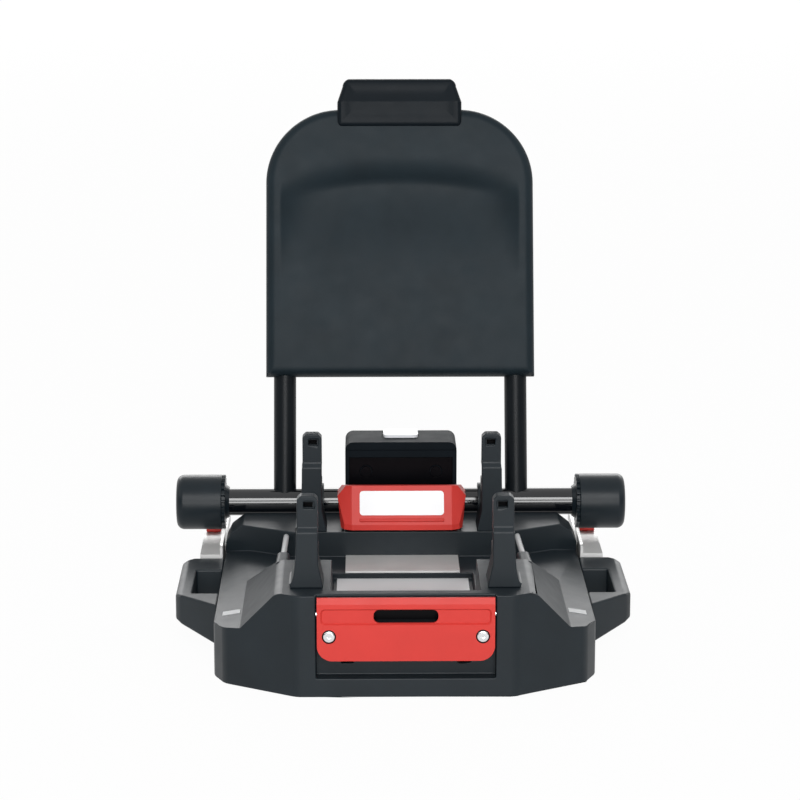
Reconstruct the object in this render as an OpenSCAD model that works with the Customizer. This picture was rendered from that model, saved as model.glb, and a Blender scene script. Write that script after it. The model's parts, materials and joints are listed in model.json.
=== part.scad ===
// Infant carrier base with folding rebound panel, telescoping anchor arms and hook towers.
// Frame: +X to the right, +Y towards the seat back, +Z up, origin at the centre of the underside.

/* [Base shell] */
// Length of the shell from front to rear
shell_l = 257; // [250:1:270]
// Wall of every moulded shell
wall = 3; // [2.4:0.2:4]
// Width of the flat centre of the front
front_flat = 146; // [136:1:160]
// Width where the front facets meet the corner facets
corner_w = 245; // [235:1:248]
// Depth of the front facets
corner_y = 31; // [24:1:40]
// Depth at which the straight sides start
side_y = 48; // [42:1:60]
// Height of the front block
front_h = 70; // [68:1:74]
// Height of the side floors at the foot of the ramps
floor_h = 41; // [39:1:44]
// Fall of the side floors towards the edge
floor_fall = 3; // [0:0.5:5]
// Height of the rear block
rear_h = 60; // [58:1:62]
// Length of the rear block
rear_l = 55.5; // [51:0.5:61]
// Width of the flat top of the rear block
rear_flat = 234; // [220:1:240]
// Width of the straight front of the rear block
sweep_w = 158; // [156:1:168]
// Depth by which the outer ends of the rear block are swept back
rear_sweep = 28; // [10:1:32]
// Width of the flat top of the front block
ridge_w = 172; // [168:1:180]
// Width at the foot of the side ramps
ramp_w = 222; // [210:1:230]
// Distance from the front face to the inner end of the ridges
ridge_l = 91; // [80:1:100]
// Distance from the front face to the outer end of the ridges
ridge_foot_l = 140; // [120:1:150]

/* [Tray] */
// Width of the tray channel
tray_w = 100; // [96:1:104]
// Height of the tray floor
tray_h = 36.5; // [35:0.5:38]
// Thickness of the front wall at its top
front_wall_t = 14; // [12:0.5:16]
// Width of the raised steel floor plate
plate_w = 82; // [70:1:90]
// Length of the floor plate between the tray and the rear block
plate_l = 43; // [36:0.5:50]
// Thickness of the steel floor plate
plate_t = 1.5; // [1:0.1:2]
// Width of the bare information label
label_w = 94; // [80:1:96]
// Length of the bare information label
label_l = 40; // [20:1:60]
// Thickness of labels
label_t = 0.4; // [0.3:0.1:0.6]

/* [Front handle] */
// Width of the release handle
handle_w = 118; // [112:1:122]
// Height of the lower edge of the handle
handle_z = 26; // [22:1:28]
// Height of the top edge of the handle
handle_top = 69; // [66:0.5:69.5]
// Distance by which the handle stands proud of the front
handle_proud = 3; // [2:0.5:4]
// Side gap between handle and recess
handle_gap = 0.8; // [0.5:0.1:1.2]
// Height of the handle pivot
pivot_z = 57; // [55:0.5:59]
// Setback of the handle pivot from the front face
pivot_set = 2.5; // [2:0.25:3]
// Radius of the handle pivot pins
pivot_r = 1.5; // [1:0.25:2]
// Length of the finger slot
slot_l = 43; // [36:1:50]
// Height of the finger slot
slot_h = 9.3; // [8:0.1:11]
// Corner radius of the finger slot
slot_round = 4; // [1:0.25:4.4]
// Height of the middle of the finger slot
slot_z = 56.4; // [54:0.2:58]
// Distance between the two handle screws
handle_screw_c = 102; // [94:1:104]
// Height of the handle screws
handle_screw_z = 42.8; // [38:0.2:46]
// Depth of the recess behind the handle
recess_d = 9.5; // [9:0.5:10]
// Height of the lower edge of the recess
recess_z = 13; // [10:1:16]
// Depth of the notch above the handle
brow_d = 5; // [4.5:0.5:6]

/* [Hook towers] */
// Distance between the left and right towers
tower_c = 130.6; // [128:0.2:132]
// Distance from the front face to the front towers
front_tower_set = 19; // [17:0.5:22]
// Height of the tower tops
tower_top = 132.5; // [126:0.5:138]
// Width of the tower at its top
cap_w = 14; // [12:0.5:16]
// Width added at the outer side below the shoulder
flange_w = 5; // [3:0.5:5]
// Width added at the inner side of the foot
foot_w = 3.5; // [2:0.5:5]
// Depth of the tower at its foot
tower_d = 30; // [26:1:34]
// Depth of the tower at its top
cap_d = 13; // [11:0.5:15]
// Height of the ledge on the tower front
ledge_z = 108; // [104:0.5:112]
// Setback of the tower front above the ledge
ledge_d = 3; // [2:0.5:4]
// Height of the middle of the carrier rod slot
rod_z = 101.5; // [98:0.5:104]
// Height of the carrier rod slot
rod_slot_h = 11; // [10:0.5:12]
// Distance from the tower front to the end of the rod slot
rod_slot_set = 9; // [7:0.5:10]
// Width of the square pocket in the tower front
pocket_w = 7; // [5:0.5:8]
// Height of the square pocket
pocket_h = 5; // [4:0.5:6]
// Thickness of the carrier latch bolts
bolt_t = 6; // [5:0.5:7]
// Width of the carrier latch bolts
bolt_w = 6; // [5:0.5:7]
// Travel of the carrier latch bolts
bolt_travel = 10.4; // [9.4:0.2:11]
// Clearance round every sliding piece
slide_gap = 0.3; // [0.2:0.05:0.5]

/* [Release lever] */
// Width of the rear release lever
lever_w = 94; // [88:1:98]
// Width of the lever across its top
lever_top_w = 82; // [74:1:86]
// Height of the lever top
lever_top = 92.5; // [90:0.5:95]
// Overhang of the lip of the lever in front of the rear block
lever_over = 3; // [0.5:0.5:5]
// Depth of the lever
lever_d = 31; // [30:0.5:33]
// Setback of the lever face from lip to top
lever_rake = 12; // [9:0.5:14]
// Wall of the lever cover
lever_wall = 2.5; // [2:0.5:3]
// Radius of the lever pivot pin
lever_pin_r = 2.5; // [2:0.25:3]
// Length of the bare lever label
lever_label_l = 61.5; // [50:0.5:64]
// Height of the bare lever label
lever_label_h = 18; // [14:0.5:20]

/* [Cross tube and knobs] */
// Distance from the rear face to the tube axis
tube_back = 11; // [10.5:0.5:15]
// Height of the tube axis
tube_z = 66; // [65:0.5:68]
// Radius of the cross tube
tube_r = 10.25; // [9.5:0.25:11]
// Wall of the steel tubes
tube_wall = 1.5; // [1:0.1:2.5]
// Radial running clearance on the cross tube
run_gap = 0.06; // [0.03:0.01:0.1]
// Radius of the end knobs
knob_r = 20.5; // [19:0.25:20.5]
// Length of the end knobs
knob_l = 34; // [30:1:38]
// Radius of the knob edges
knob_round = 5.5; // [4:0.5:7]
// Tooth count of the knob pinions
pinion_n = 24; // [20:4:28]
// Width of the knob pinions
pinion_w = 2.4; // [2:0.1:3]
// Height of the pinion and rack teeth
tooth_h = 1.8; // [1.4:0.1:2]
// Width of the bearing brackets
bracket_w = 15; // [12:1:17]
// Radius of the bearing brackets round the tube
bracket_r = 14; // [13:0.5:15]

/* [Rebound frame] */
// Backward lean of the posts in degrees
post_lean = 17; // [12:1:20]
// Distance between the two post axes
post_c = 174; // [174:1:180]
// Radius of the posts
post_r = 8.4; // [7:0.2:8.6]
// Distance along the posts from the tube axis to their ends
post_l = 240; // [220:5:260]
// Width of the panel
panel_w = 202; // [196:1:210]
// Distance along the posts from the tube axis to the panel
panel_set = 94; // [93:1:98]
// Height of the panel along the posts
panel_h = 203; // [190:1:215]
// Radius of the upper panel corners
panel_round = 56; // [40:1:60]
// Thickness of the panel in front of the post axes
panel_front_t = 14; // [12:0.5:15]
// Thickness of the panel behind the post axes
panel_back_t = 11; // [10.5:0.5:13]
// Inset of the back shell round its rim
back_inset = 3; // [1:0.5:5]
// Width of the top grip at its foot
grip_w = 94; // [86:1:100]
// Width of the top grip at its top
grip_top_w = 78; // [70:1:84]
// Height of the top grip
grip_h = 37; // [30:1:42]
// Height by which the grip stands above the panel
grip_rise = 23; // [18:1:28]
// Thickness of the top grip
grip_t = 30; // [29:1:34]

/* [Tilt housing] */
// Width of the tilt lock housing
housing_w = 83; // [78:1:88]
// Height of the housing top
housing_top = 115.5; // [112:0.5:118]
// Depth by which the housing sits over the rear block
housing_seat = 5.5; // [5:0.5:7]
// Depth of the housing
housing_d = 40.5; // [39:0.5:44]
// Height of the housing underside
housing_low = 44; // [42:1:47]
// Radius of the upper housing corners
housing_round = 6; // [4:0.5:8]
// Width of the push button
button_w = 26; // [22:1:30]
// Depth of the push button
button_d = 21; // [16:1:21]
// Height by which the button stands proud
button_rise = 2; // [1:0.5:3]
// Travel of the push button
button_travel = 2.4; // [1.6:0.2:2.4]
// Radius of the brake drum on the tube
drum_r = 12; // [11.5:0.25:12.5]
// Width of the brake drum
drum_w = 12; // [8:1:14]
// Gap between brake shoe and drum
brake_gap = 0.15; // [0.1:0.05:0.3]

/* [Anchor carriage] */
// Distance between the two vehicle anchor bars
anchor_c = 280; // [276:1:284]
// Diameter of a vehicle anchor bar
anchor_bar_d = 6; // [5:0.5:6.5]
// Clearance of the anchor bar in the jaw mouth
anchor_bar_gap = 2; // [1:0.5:2.5]
// Width of the anchor arms
arm_w = 16.5; // [15:0.5:17]
// Height of the anchor arms
arm_h = 24; // [22:1:26]
// Height of the top of the anchor arms
arm_top = 40; // [39:0.5:41]
// Wall of the anchor arms
arm_wall = 2.5; // [2:0.25:3]
// Gap between the anchor arms and the sides of the shell
arm_side_gap = 1.75; // [1:0.25:3]
// Distance from the rear face to the rear ends of the anchor arms
arm_back = 86; // [81:1:93]
// Width of the racks on the anchor arms
rack_w = 2; // [1.5:0.1:3]
// Travel of the carriage
carriage_travel = 50; // [40:1:55]
// Width of the carriage tongue
tongue_w = 76; // [70:1:80]
// Thickness of the carriage tongue
tongue_t = 8; // [6:0.5:9]
// Height of the underside of the tongue
tongue_z = 12; // [11:0.5:13]
// Depth of the cross beam
beam_d = 16; // [14:1:18]
// Height of the cross beam
beam_h = 22; // [20:1:24]
// Gap between the rear face and the cross beam
beam_gap = 5; // [4:0.5:8]
// Depth of the jaw mouth
mouth_d = 22; // [20:1:24]
// Radius of the jaw pivot pins
jaw_pin_r = 2; // [1.5:0.25:2.5]
// Travel of the red release slides
slider_travel = 8; // [6:0.5:9]

/* [Belt guides] */
// Distance between the outer edges of the belt guides
guide_w = 321; // [315:1:326]
// Distance from the front face to the inner front corner
guide_set = 88; // [82:1:94]
// Depth by which the outer front corner lies behind the inner one
guide_sweep = 26; // [20:1:30]
// Gap between the belt guides and the anchor arms behind them
guide_gap = 2; // [1:0.5:5]
// Height of the top of the belt guides
guide_top = 38; // [36:0.5:40]
// Height of the lower inner edge of the guides
guide_low = 9; // [6:1:12]
// Rise of the underside towards the outer edge
guide_rise = 9; // [4:1:12]
// Length of the belt slot
belt_slot_l = 60; // [52:1:64]
// Width of the belt slot
belt_slot_w = 18; // [14:1:20]
// Distance from the front face to the belt slot
belt_slot_set = 119; // [114:1:124]

/* [Small parts] */
// Diameter of a pan head screw
screw_head_d = 8; // [7:0.5:9]
// Diameter of a screw shank
screw_d = 4; // [3.5:0.5:4.5]
// Diameter of the side tie rods
tie_d = 4; // [3:0.5:5]
// Distance between the side tie rods
tie_c = 169; // [166:1:170]
// Thickness of the seat pad
pad_t = 2; // [1.5:0.5:3]
// Width of the seat pad
pad_w = 200; // [180:5:220]
// Length of the seat pad
pad_l = 190; // [170:5:200]
// Diameter of the spring wire
wire_d = 1; // [0.8:0.1:1.2]

/* [Hidden] */
$fn = 64;
over = 1;

black = "#33383b";
dark = "#22262a";
red = "#cf3a33";
white = "#f2f2f0";
steel = "#c9cccd";
grey = "#b4b5b6";

// Shell between the anchor arms
shell_w = anchor_c - arm_w - 2 * arm_side_gap;

// Faces of the shell, from which the distances along Y are set
front_y = -shell_l / 2;
rear_y = front_y + shell_l;
rear_set = shell_l - rear_l;
block_y = front_y + rear_set;
tube_y = rear_y + tube_back;
handle_y = front_y + pivot_set;
side_x = shell_w / 2;

// Gap of parts fastened to each other
seat_gap = 0.03;
screw_head_h = 2.4;
spring_turns = 4;

// Shell, tray and floor
tray_l = rear_set - plate_l;
plate_y = front_y + tray_l;
bottom_t = 3;
bottom_z = pad_t;
bottom_top = bottom_z + bottom_t;
pad_round = 12;
boss_x = 105;
boss_r = 5;
boss_set = 72;
boss_inset = 21;
boss_front_y = front_y + boss_set;
boss_rear_y = rear_y - boss_inset;
boss_hole_l = 20;
base_screw_l = 14;
label_round = 2.5;
mark_w = 12;
mark_l = 14;
mark_set = 60;
mark_gap = 1.5;
rear_edge_drop = 15;
rear_step_drop = 7;
rear_step_in = 4;
guide_round = 8;
guide_break = 2;
slot_clear = 1;
rail_lead = 15;
rail_lip = 5;
rail_t = 3;
tie_front_z = front_h - tie_d;
tie_rear_z = rear_h - tie_d;

// Towers, handle and latch
tower_x = tower_c / 2;
foot_rise = 16;
cap_break = 2.5;
pocket_d = 5;
bolt_lead = 10;
bolt_set = rod_slot_set + bolt_lead;
bolt_sink = 3.4;
bolt_top = rod_z - rod_slot_h / 2 + bolt_travel - bolt_sink;
latch_y = front_y + front_tower_set + bolt_set + bolt_t / 2;
yoke_set = 30;
yoke_front_y = front_y + yoke_set;
yoke_h = 6;
yoke_z = handle_z - slide_gap - yoke_h;
latch_spring_x = 15;
latch_spring_r = 4;
handle_inner = 0.5;
handle_arm_x = 39;
handle_arm_w = 8;
handle_arm_t = 5;
handle_web_t = 2;
handle_head_gap = 0.7;
handle_head_sink = 2;
handle_pin_half = handle_w / 2 + handle_gap + wall + over;
cheek_t = 4;
cheek_r = pivot_set + handle_proud;

// Release lever and brake bolt
lever_y = block_y - lever_over;
lever_lip = 4;
lever_draft = 2.5;
lever_pin_set = 23;
lever_pin_drop = 9.5;
lever_pin_y = lever_y + lever_pin_set;
lever_pin_z = lever_top - lever_pin_drop;
lever_gap = 2;
lever_low = rear_h + lever_gap;
ear_t = 4;
ear_r = 4.2;
ear_inset = 14;
ear_in = lever_w / 2 - ear_inset;
lever_rib_t = 3.5;
rib_gap = 1;
rib_in = ear_in + ear_t + rib_gap;
tine_t = 2.4;
tine_w = 4;
tine_over = 11;
brake_bolt_set = 14;
brake_bolt_y = lever_y + brake_bolt_set;
brake_bolt_r = 4;
brake_head_r = 6.5;
brake_bolt_rise = 3;
brake_bolt_top = lever_low + brake_bolt_rise;
bolt_collar_z = 27;

// Knobs and pinions
knob_in = anchor_c - arm_w + 2 * (rack_w + slide_gap);
pinion_x = knob_in / 2 - pinion_w;
tooth_inset = 0.2;
pitch_r = knob_r - tooth_h / 2 - tooth_inset;
pitch_l = 2 * PI * pitch_r / pinion_n;
rack_gap = 0.25;
root_t = 0.47 * pitch_l;
tip_t = 0.22 * pitch_l;
knob_bore_l = 18;
tube_half = knob_in / 2 + knob_bore_l - slide_gap;
bracket_low = 46;

// Rebound panel
grip_set = panel_set + panel_h + grip_rise - grip_h;
grip_front_share = 0.6;
grip_break = 4;
panel_screw_c = 120;
panel_screw_l = 18;

// Tilt housing
housing_y = rear_y - housing_seat;
housing_end = housing_y + housing_d;
button_back = 9;
button_y = tube_y + button_back;
button_z = housing_top - housing_round;
button_round = 4;
face_edge = 3;
face_low = 82;
face_h = 22;
face_d = 2.5;
face_screw_x = 26;
button_flange_t = 2;
button_flange_z = housing_top - wall - slide_gap - button_flange_t;
button_spring_l = 5 * button_travel;
shelf_z = button_flange_z - button_spring_l;
stem_back = 12;
stem_y = tube_y + stem_back;
stem_r = 1.5;
shoe_pin_back = 2;
shoe_pin_rise = 8;
shoe_pin_y = tube_y + shoe_pin_back;
shoe_pin_z = tube_z + drum_r + shoe_pin_rise;
shoe_pin_r = 1.5;
shoe_r = 4;
shoe_t = 8;
shoe_nose = 4;
tail_t = 2.7;
stem_z = shoe_pin_z + tail_t + slide_gap;

// Anchor carriage
arm_x = anchor_c / 2;
rack_lead = 5;
arm_y = tube_y - carriage_travel - rack_lead;
arm_end = rear_y + arm_back;
arm_l = arm_end - arm_y;
arm_low = arm_top - arm_h;
beam_y = rear_y + beam_gap;
tongue_lead = 24;
tongue_y = brake_bolt_y - carriage_travel - tongue_lead;
mouth_h = anchor_bar_d + anchor_bar_gap;
mouth_rise = 12;
mouth_z = arm_low + mouth_rise;
jaw_pin_inset = 21;
jaw_pin_rise = 5.5;
jaw_pin_y = arm_end - jaw_pin_inset;
jaw_pin_z = arm_low + jaw_pin_rise;
jaw_r = 5;
jaw_slot_l = 40;
jaw_w = arm_w - 2 * arm_wall - 2 * slide_gap;
slider_back = 8;
slider_y = tube_y + slider_back;
slider_l = 30;
slider_t = 4;
slider_w = 11;
slider_shift = 1.5;
slide_neck = 3;

// Extrudes an outline drawn in X and Z from y0 to y1
module along_y(y0, y1) {
    translate([0, y1, 0]) rotate([90, 0, 0]) linear_extrude(y1 - y0) children();
}

// Extrudes an outline drawn in Y and Z from x0 to x1
module along_x(x0, x1) {
    translate([x0, 0, 0]) rotate([90, 0, 90]) linear_extrude(x1 - x0) children();
}

// Places a right-hand piece, or its mirror image on the left
module on_side(side) {
    if (side > 0) children();
    else mirror([1, 0, 0]) children();
}

// Moves to the tilted frame of the posts: +Z runs up the posts, -Y faces forwards
module on_posts() {
    translate([0, tube_y, tube_z]) rotate([-post_lean, 0, 0]) children();
}

// Polygon from the points of its right half, taken over to the left as well
module symmetric(half) {
    count = len(half);
    polygon(concat(half, [for (i = [count - 1:-1:0]) [-half[i][0], half[i][1]]]));
}

// Rectangle with its two upper corners rounded, standing on the X axis
module arch(width, height, round) {
    translate([-width / 2, 0]) square([width, height - round]);
    translate([round - width / 2, 0]) square([width - 2 * round, height]);
    for (side = [-1, 1]) translate([side * (width / 2 - round), height - round]) circle(round);
}

// Rectangle with all corners rounded, centred
module round_rect(width, height, round) {
    square([width - 2 * round, height], center = true);
    square([width, height - 2 * round], center = true);
    for (sx = [-1, 1]) for (sy = [-1, 1])
        translate([sx * (width / 2 - round), sy * (height / 2 - round)]) circle(round);
}

// Cylinder along X
module x_pin(radius, x0, x1) {
    translate([x0, 0, 0]) rotate([0, 90, 0]) cylinder(r = radius, h = x1 - x0);
}

// Pan head screw pointing along -Z, its head underside at z = 0
module pan_screw(shank) {
    cylinder(d = screw_head_d, h = screw_head_h);
    translate([0, 0, -shank]) cylinder(d = screw_d, h = shank);
}

// Round wire coil standing on z = 0
module coil(radius, height, turns) {
    steps = 12;
    sides = 6;
    count = turns * steps;
    rise = (height - wire_d) / count;
    points = [for (i = [0:count]) for (j = [0:sides - 1])
        let (a = 360 * i / steps, b = 360 * j / sides, r = radius + wire_d / 2 * cos(b))
        [r * cos(a), r * sin(a), wire_d / 2 + i * rise + wire_d / 2 * sin(b)]];
    walls = [for (i = [0:count - 1]) for (j = [0:sides - 1])
        let (k = (j + 1) % sides)
        [i * sides + j, (i + 1) * sides + j, (i + 1) * sides + k, i * sides + k]];
    ends = [[for (j = [0:sides - 1]) j], [for (j = [sides - 1:-1:0]) count * sides + j]];
    polyhedron(points, concat(walls, ends), convexity = 8);
}

// Outline of the shell seen from above, drawn in by inset
module shell_plan(inset) {
    symmetric([
        [front_flat / 2 - inset / 3, front_y + inset],
        [corner_w / 2 - inset, front_y + corner_y + inset / 2],
        [side_x - inset, front_y + side_y],
        [side_x - inset, rear_y - inset]
    ]);
}

// Low body between and beside the two blocks
module low_form(inset) {
    intersection() {
        translate([0, 0, -over]) linear_extrude(floor_h + over) shell_plan(inset);
        along_y(front_y, rear_y) symmetric([
            [ramp_w / 2, floor_h - inset], [side_x, floor_h - floor_fall - inset], [side_x, -over]
        ]);
    }
}

// Front block with its side ramps and swept rear ends
module front_form(inset) {
    intersection() {
        along_y(front_y, front_y + ridge_foot_l) symmetric([
            [ridge_w / 2 - inset / 3, front_h - inset],
            [ramp_w / 2 - inset, floor_h - inset], [ramp_w / 2 - inset, -over]
        ]);
        translate([0, 0, -over]) linear_extrude(front_h + over) symmetric([
            [ramp_w / 2, front_y], [ramp_w / 2, front_y + ridge_foot_l - 2 * inset],
            [ridge_w / 2, front_y + ridge_l - 2 * inset]
        ]);
        translate([0, 0, -over]) linear_extrude(front_h + over) shell_plan(inset);
    }
}

// Rear block with broken outer edges
module rear_form(inset) {
    edge_z = rear_h - rear_edge_drop;
    step_z = rear_h - rear_step_drop;
    step_x = side_x - rear_step_in;
    // plan with its outer ends swept back
    slope = 2 * rear_sweep / (shell_w - sweep_w);
    lead = inset * sqrt(1 + slope * slope);
    far_x = side_x + over;
    intersection() {
        along_y(block_y + inset, rear_y - inset) symmetric([
            [rear_flat / 2 - inset / 2, rear_h - inset], [step_x - inset, step_z - inset / 2],
            [side_x - inset, edge_z], [side_x - inset, -over]
        ]);
        translate([0, 0, -over]) linear_extrude(rear_h + 2 * over) symmetric([
            [sweep_w / 2 - (lead - inset) / slope, block_y + inset],
            [far_x, block_y + lead + slope * (far_x - sweep_w / 2)], [far_x, rear_y]
        ]);
    }
}

// Channel between the ridges, kept clear by gap on every side
module tray_form(gap) {
    top = front_h + over;
    translate([-tray_w / 2 - gap, front_y + front_wall_t - gap, tray_h - gap])
        cube([tray_w + 2 * gap, tray_l - front_wall_t + 2 * gap, top - tray_h + gap]);
    translate([-tray_w / 2 - gap, front_y + front_wall_t - gap, floor_h - gap])
        cube([tray_w + 2 * gap, rear_set - front_wall_t + gap, top - floor_h + gap]);
}

// Recess for the release handle, kept clear by gap
module handle_recess(gap) {
    half = handle_w / 2 + handle_gap + gap;
    low = recess_z - gap;
    roof = front_h - wall - brow_d + gap;
    translate([-half, front_y - over, low]) cube([2 * half, recess_d + over + gap, roof - low]);
    translate([-half, front_y - over, low]) cube([2 * half, brow_d + over + gap, front_h - low + over]);
}

// Screw bosses under the floor of the shell
module shell_boss_places() {
    for (sx = [-1, 1]) for (y = [boss_front_y, boss_rear_y]) translate([sx * boss_x, y, 0]) children();
}

module base_shell() {
    color(black) difference() {
        union() { low_form(0); front_form(0); rear_form(0); }
        translate([-shell_w, -shell_l, -2 * over]) cube([2 * shell_w, 2 * shell_l, 2 * over]);
        tray_form(0);
        handle_recess(0);
        difference() {
            union() { low_form(wall); front_form(wall); rear_form(wall); }
            tray_form(wall);
            handle_recess(wall);
            shell_boss_places() translate([0, 0, bottom_top]) cylinder(r = boss_r, h = front_h);
        }
        // tongue slot in the rear wall
        translate([-tongue_w / 2 - slide_gap, rear_y - 2 * wall, tongue_z - slide_gap])
            cube([tongue_w + 2 * slide_gap, 2 * wall + over, tongue_t + 2 * slide_gap]);
        // bores of the handle pins
        translate([0, handle_y, pivot_z]) x_pin(pivot_r + seat_gap, -handle_pin_half, handle_pin_half);
        // slots of the latch yoke below the front towers
        for (side = [-1, 1]) translate([side * tower_x, latch_y, 0]) latch_channel(front_h + over);
        // slots of the handle arms
        for (side = [-1, 1])
            translate([side * handle_arm_x - handle_arm_w / 2 - slide_gap, front_y + recess_d - over,
                    handle_z - handle_arm_t])
                cube([handle_arm_w + 2 * slide_gap, 2 * wall + over, 3 * handle_arm_t]);
        // bore of the brake bolt
        translate([0, brake_bolt_y, rear_h - 2 * wall])
            cylinder(r = brake_bolt_r + slide_gap, h = 3 * wall);
        shell_boss_places() translate([0, 0, -over]) cylinder(d = screw_d + 2 * seat_gap, h = boss_hole_l);
    }
}

// Square channel of one latch bolt, centred on the bolt
module latch_channel(top) {
    translate([-bolt_w / 2 - slide_gap, -bolt_t / 2 - slide_gap, -over])
        cube([bolt_w + 2 * slide_gap, bolt_t + 2 * slide_gap, top + over]);
}

module bottom_plate() {
    color(dark) difference() {
        translate([0, 0, bottom_z]) linear_extrude(bottom_t) shell_plan(wall + slide_gap);
        shell_boss_places() cylinder(d = screw_d + 2 * seat_gap, h = bottom_top + over);
    }
}

module seat_pad() {
    color(dark) linear_extrude(pad_t) round_rect(pad_w, pad_l, pad_round);
}

module base_screws() {
    color(steel) shell_boss_places() translate([0, 0, bottom_z]) rotate([180, 0, 0]) flat_screw();
}

// Flat headed screw pointing along -Z, its head underside at z = 0
module flat_screw() {
    cylinder(d = screw_head_d, h = pad_t - slide_gap);
    translate([0, 0, -base_screw_l]) cylinder(d = screw_d, h = base_screw_l);
}

module floor_plate() {
    color(grey) translate([-plate_w / 2, plate_y + slide_gap, floor_h])
        cube([plate_w, rear_set - tray_l - 2 * slide_gap, plate_t]);
}

module info_label() {
    color(white) translate([-label_w / 2, plate_y - label_l, tray_h]) cube([label_w, label_l, label_t]);
}

// Belt guide on the right side: a plate with a slot against the shell
module belt_guide() {
    outer_x = guide_w / 2;
    slot_x = side_x + belt_slot_w + slot_clear;
    y0 = front_y + guide_set;
    y1 = arm_y - guide_gap;
    difference() {
        intersection() {
            along_y(y0 - over, y1 + over) polygon([
                [side_x, guide_low], [outer_x, guide_low + guide_rise], [outer_x, guide_top - guide_break],
                [outer_x - 2 * guide_break, guide_top], [side_x, guide_top]
            ]);
            linear_extrude(guide_top + over) polygon([
                [side_x, y0], [outer_x - guide_round / 2, y0 + guide_sweep],
                [outer_x, y0 + guide_sweep + guide_round], [outer_x, y1 - guide_round],
                [outer_x - guide_round, y1], [side_x, y1]
            ]);
        }
        translate([side_x - over, front_y + belt_slot_set, 0])
            cube([slot_x - side_x + over, belt_slot_l, guide_top + over]);
    }
}

module belt_guide_left() { color(black) on_side(-1) belt_guide(); }
module belt_guide_right() { color(black) on_side(1) belt_guide(); }

// Right-hand hook tower, its front at y = 0 and its middle at x = 0
module hook_tower(foot_z, bolted) {
    half = cap_w / 2;
    difference() {
        intersection() {
            along_y(0, tower_d) polygon([
                [-half - foot_w, foot_z], [-half, foot_z + foot_rise], [-half, tower_top - cap_break],
                [cap_break - half, tower_top], [half - cap_break, tower_top],
                [half, tower_top - cap_break], [half, ledge_z], [half + flange_w, ledge_z - foot_rise / 2],
                [half + flange_w, foot_z]
            ]);
            along_x(-tower_d, tower_d) polygon([
                [0, foot_z], [0, ledge_z], [ledge_d, ledge_z + ledge_d], [ledge_d, tower_top],
                [cap_d, tower_top], [cap_d + ledge_d, ledge_z + ledge_d],
                [tower_d - ledge_d, rod_z - rod_slot_h / 2], [tower_d, foot_z]
            ]);
        }
        // slot for the carrier rod, open to the rear
        translate([-tower_d, rod_slot_set, rod_z - rod_slot_h / 2]) cube([2 * tower_d, tower_d, rod_slot_h]);
        // square pocket in the front
        translate([-pocket_w / 2 - over, ledge_d - over, tower_top - 2 * cap_break - pocket_h / 2 - over])
            cube([pocket_w, pocket_d + over, pocket_h]);
        if (bolted) translate([0, bolt_set + bolt_t / 2, 0]) latch_channel(rod_z);
    }
}

module front_hook() { translate([tower_x, front_y + front_tower_set, 0]) hook_tower(front_h, true); }
module rear_hook() { translate([tower_x, block_y, 0]) hook_tower(rear_h, false); }
module front_hook_left() { color(black) on_side(-1) front_hook(); }
module front_hook_right() { color(black) on_side(1) front_hook(); }
module rear_hook_left() { color(black) on_side(-1) rear_hook(); }
module rear_hook_right() { color(black) on_side(1) rear_hook(); }

// Steel rods from the ends of the ridges to the rear block
module side_tie_rods() {
    rise = tie_front_z - tie_rear_z;
    run = rear_set - ridge_l;
    tilt = atan(rise / run);
    color(steel) for (side = [-1, 1]) difference() {
        intersection() {
            translate([side * tie_c / 2, block_y, tie_rear_z]) rotate([90 - tilt, 0, 0])
                translate([0, 0, -3 * tie_d]) cylinder(d = tie_d, h = run + 5 * tie_d);
            translate([-shell_w, front_y, 0]) cube([2 * shell_w, shell_l, front_h - tie_d / 4]);
        }
        front_form(0);
        rear_form(0);
    }
}

// Light marks on the side floors
module side_marks() {
    slope = floor_fall / (side_x - ramp_w / 2);
    x0 = ramp_w / 2 + mark_gap;
    x1 = x0 + mark_w;
    z0 = floor_h - (x0 - ramp_w / 2) * slope;
    z1 = floor_h - (x1 - ramp_w / 2) * slope;
    color(grey) for (side = [-1, 1]) on_side(side)
        along_y(front_y + mark_set, front_y + mark_set + mark_l)
            polygon([[x0, z0], [x1, z1], [x1, z1 + label_t], [x0, z0 + label_t]]);
}

module handle_pins() {
    color(steel) translate([0, handle_y, pivot_z]) for (side = [-1, 1]) on_side(side)
        x_pin(pivot_r, handle_w / 2 - cheek_t, handle_pin_half - over);
}

module guide_rails() {
    inner = tongue_w / 2 + slide_gap;
    top = tongue_z + tongue_t + slide_gap;
    color(steel) for (side = [-1, 1]) on_side(side)
        along_y(tongue_y - rail_lead, rear_y - 2 * wall) polygon([
            [inner - rail_lip, bottom_top], [inner + rail_t, bottom_top], [inner + rail_t, top + rail_t],
            [inner - rail_lip, top + rail_t], [inner - rail_lip, top], [inner, top],
            [inner, tongue_z - slide_gap], [inner - rail_lip, tongue_z - slide_gap]
        ]);
}

// Bearing bracket of the cross tube on the right side
module tube_bracket() {
    x0 = tower_x - bracket_w / 2;
    difference() {
        along_x(x0, x0 + bracket_w) {
            translate([tube_y, tube_z]) circle(bracket_r);
            translate([rear_y, bracket_low]) square([tube_y - rear_y + bracket_r / 2, tube_z - bracket_low]);
        }
        translate([0, front_y, 0]) cube([shell_w, shell_l, rear_h]);
        translate([0, tube_y, tube_z]) x_pin(tube_r + run_gap, x0 - over, x0 + bracket_w + over);
    }
}

module tube_bracket_left() { color(black) on_side(-1) tube_bracket(); }
module tube_bracket_right() { color(black) on_side(1) tube_bracket(); }

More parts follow.
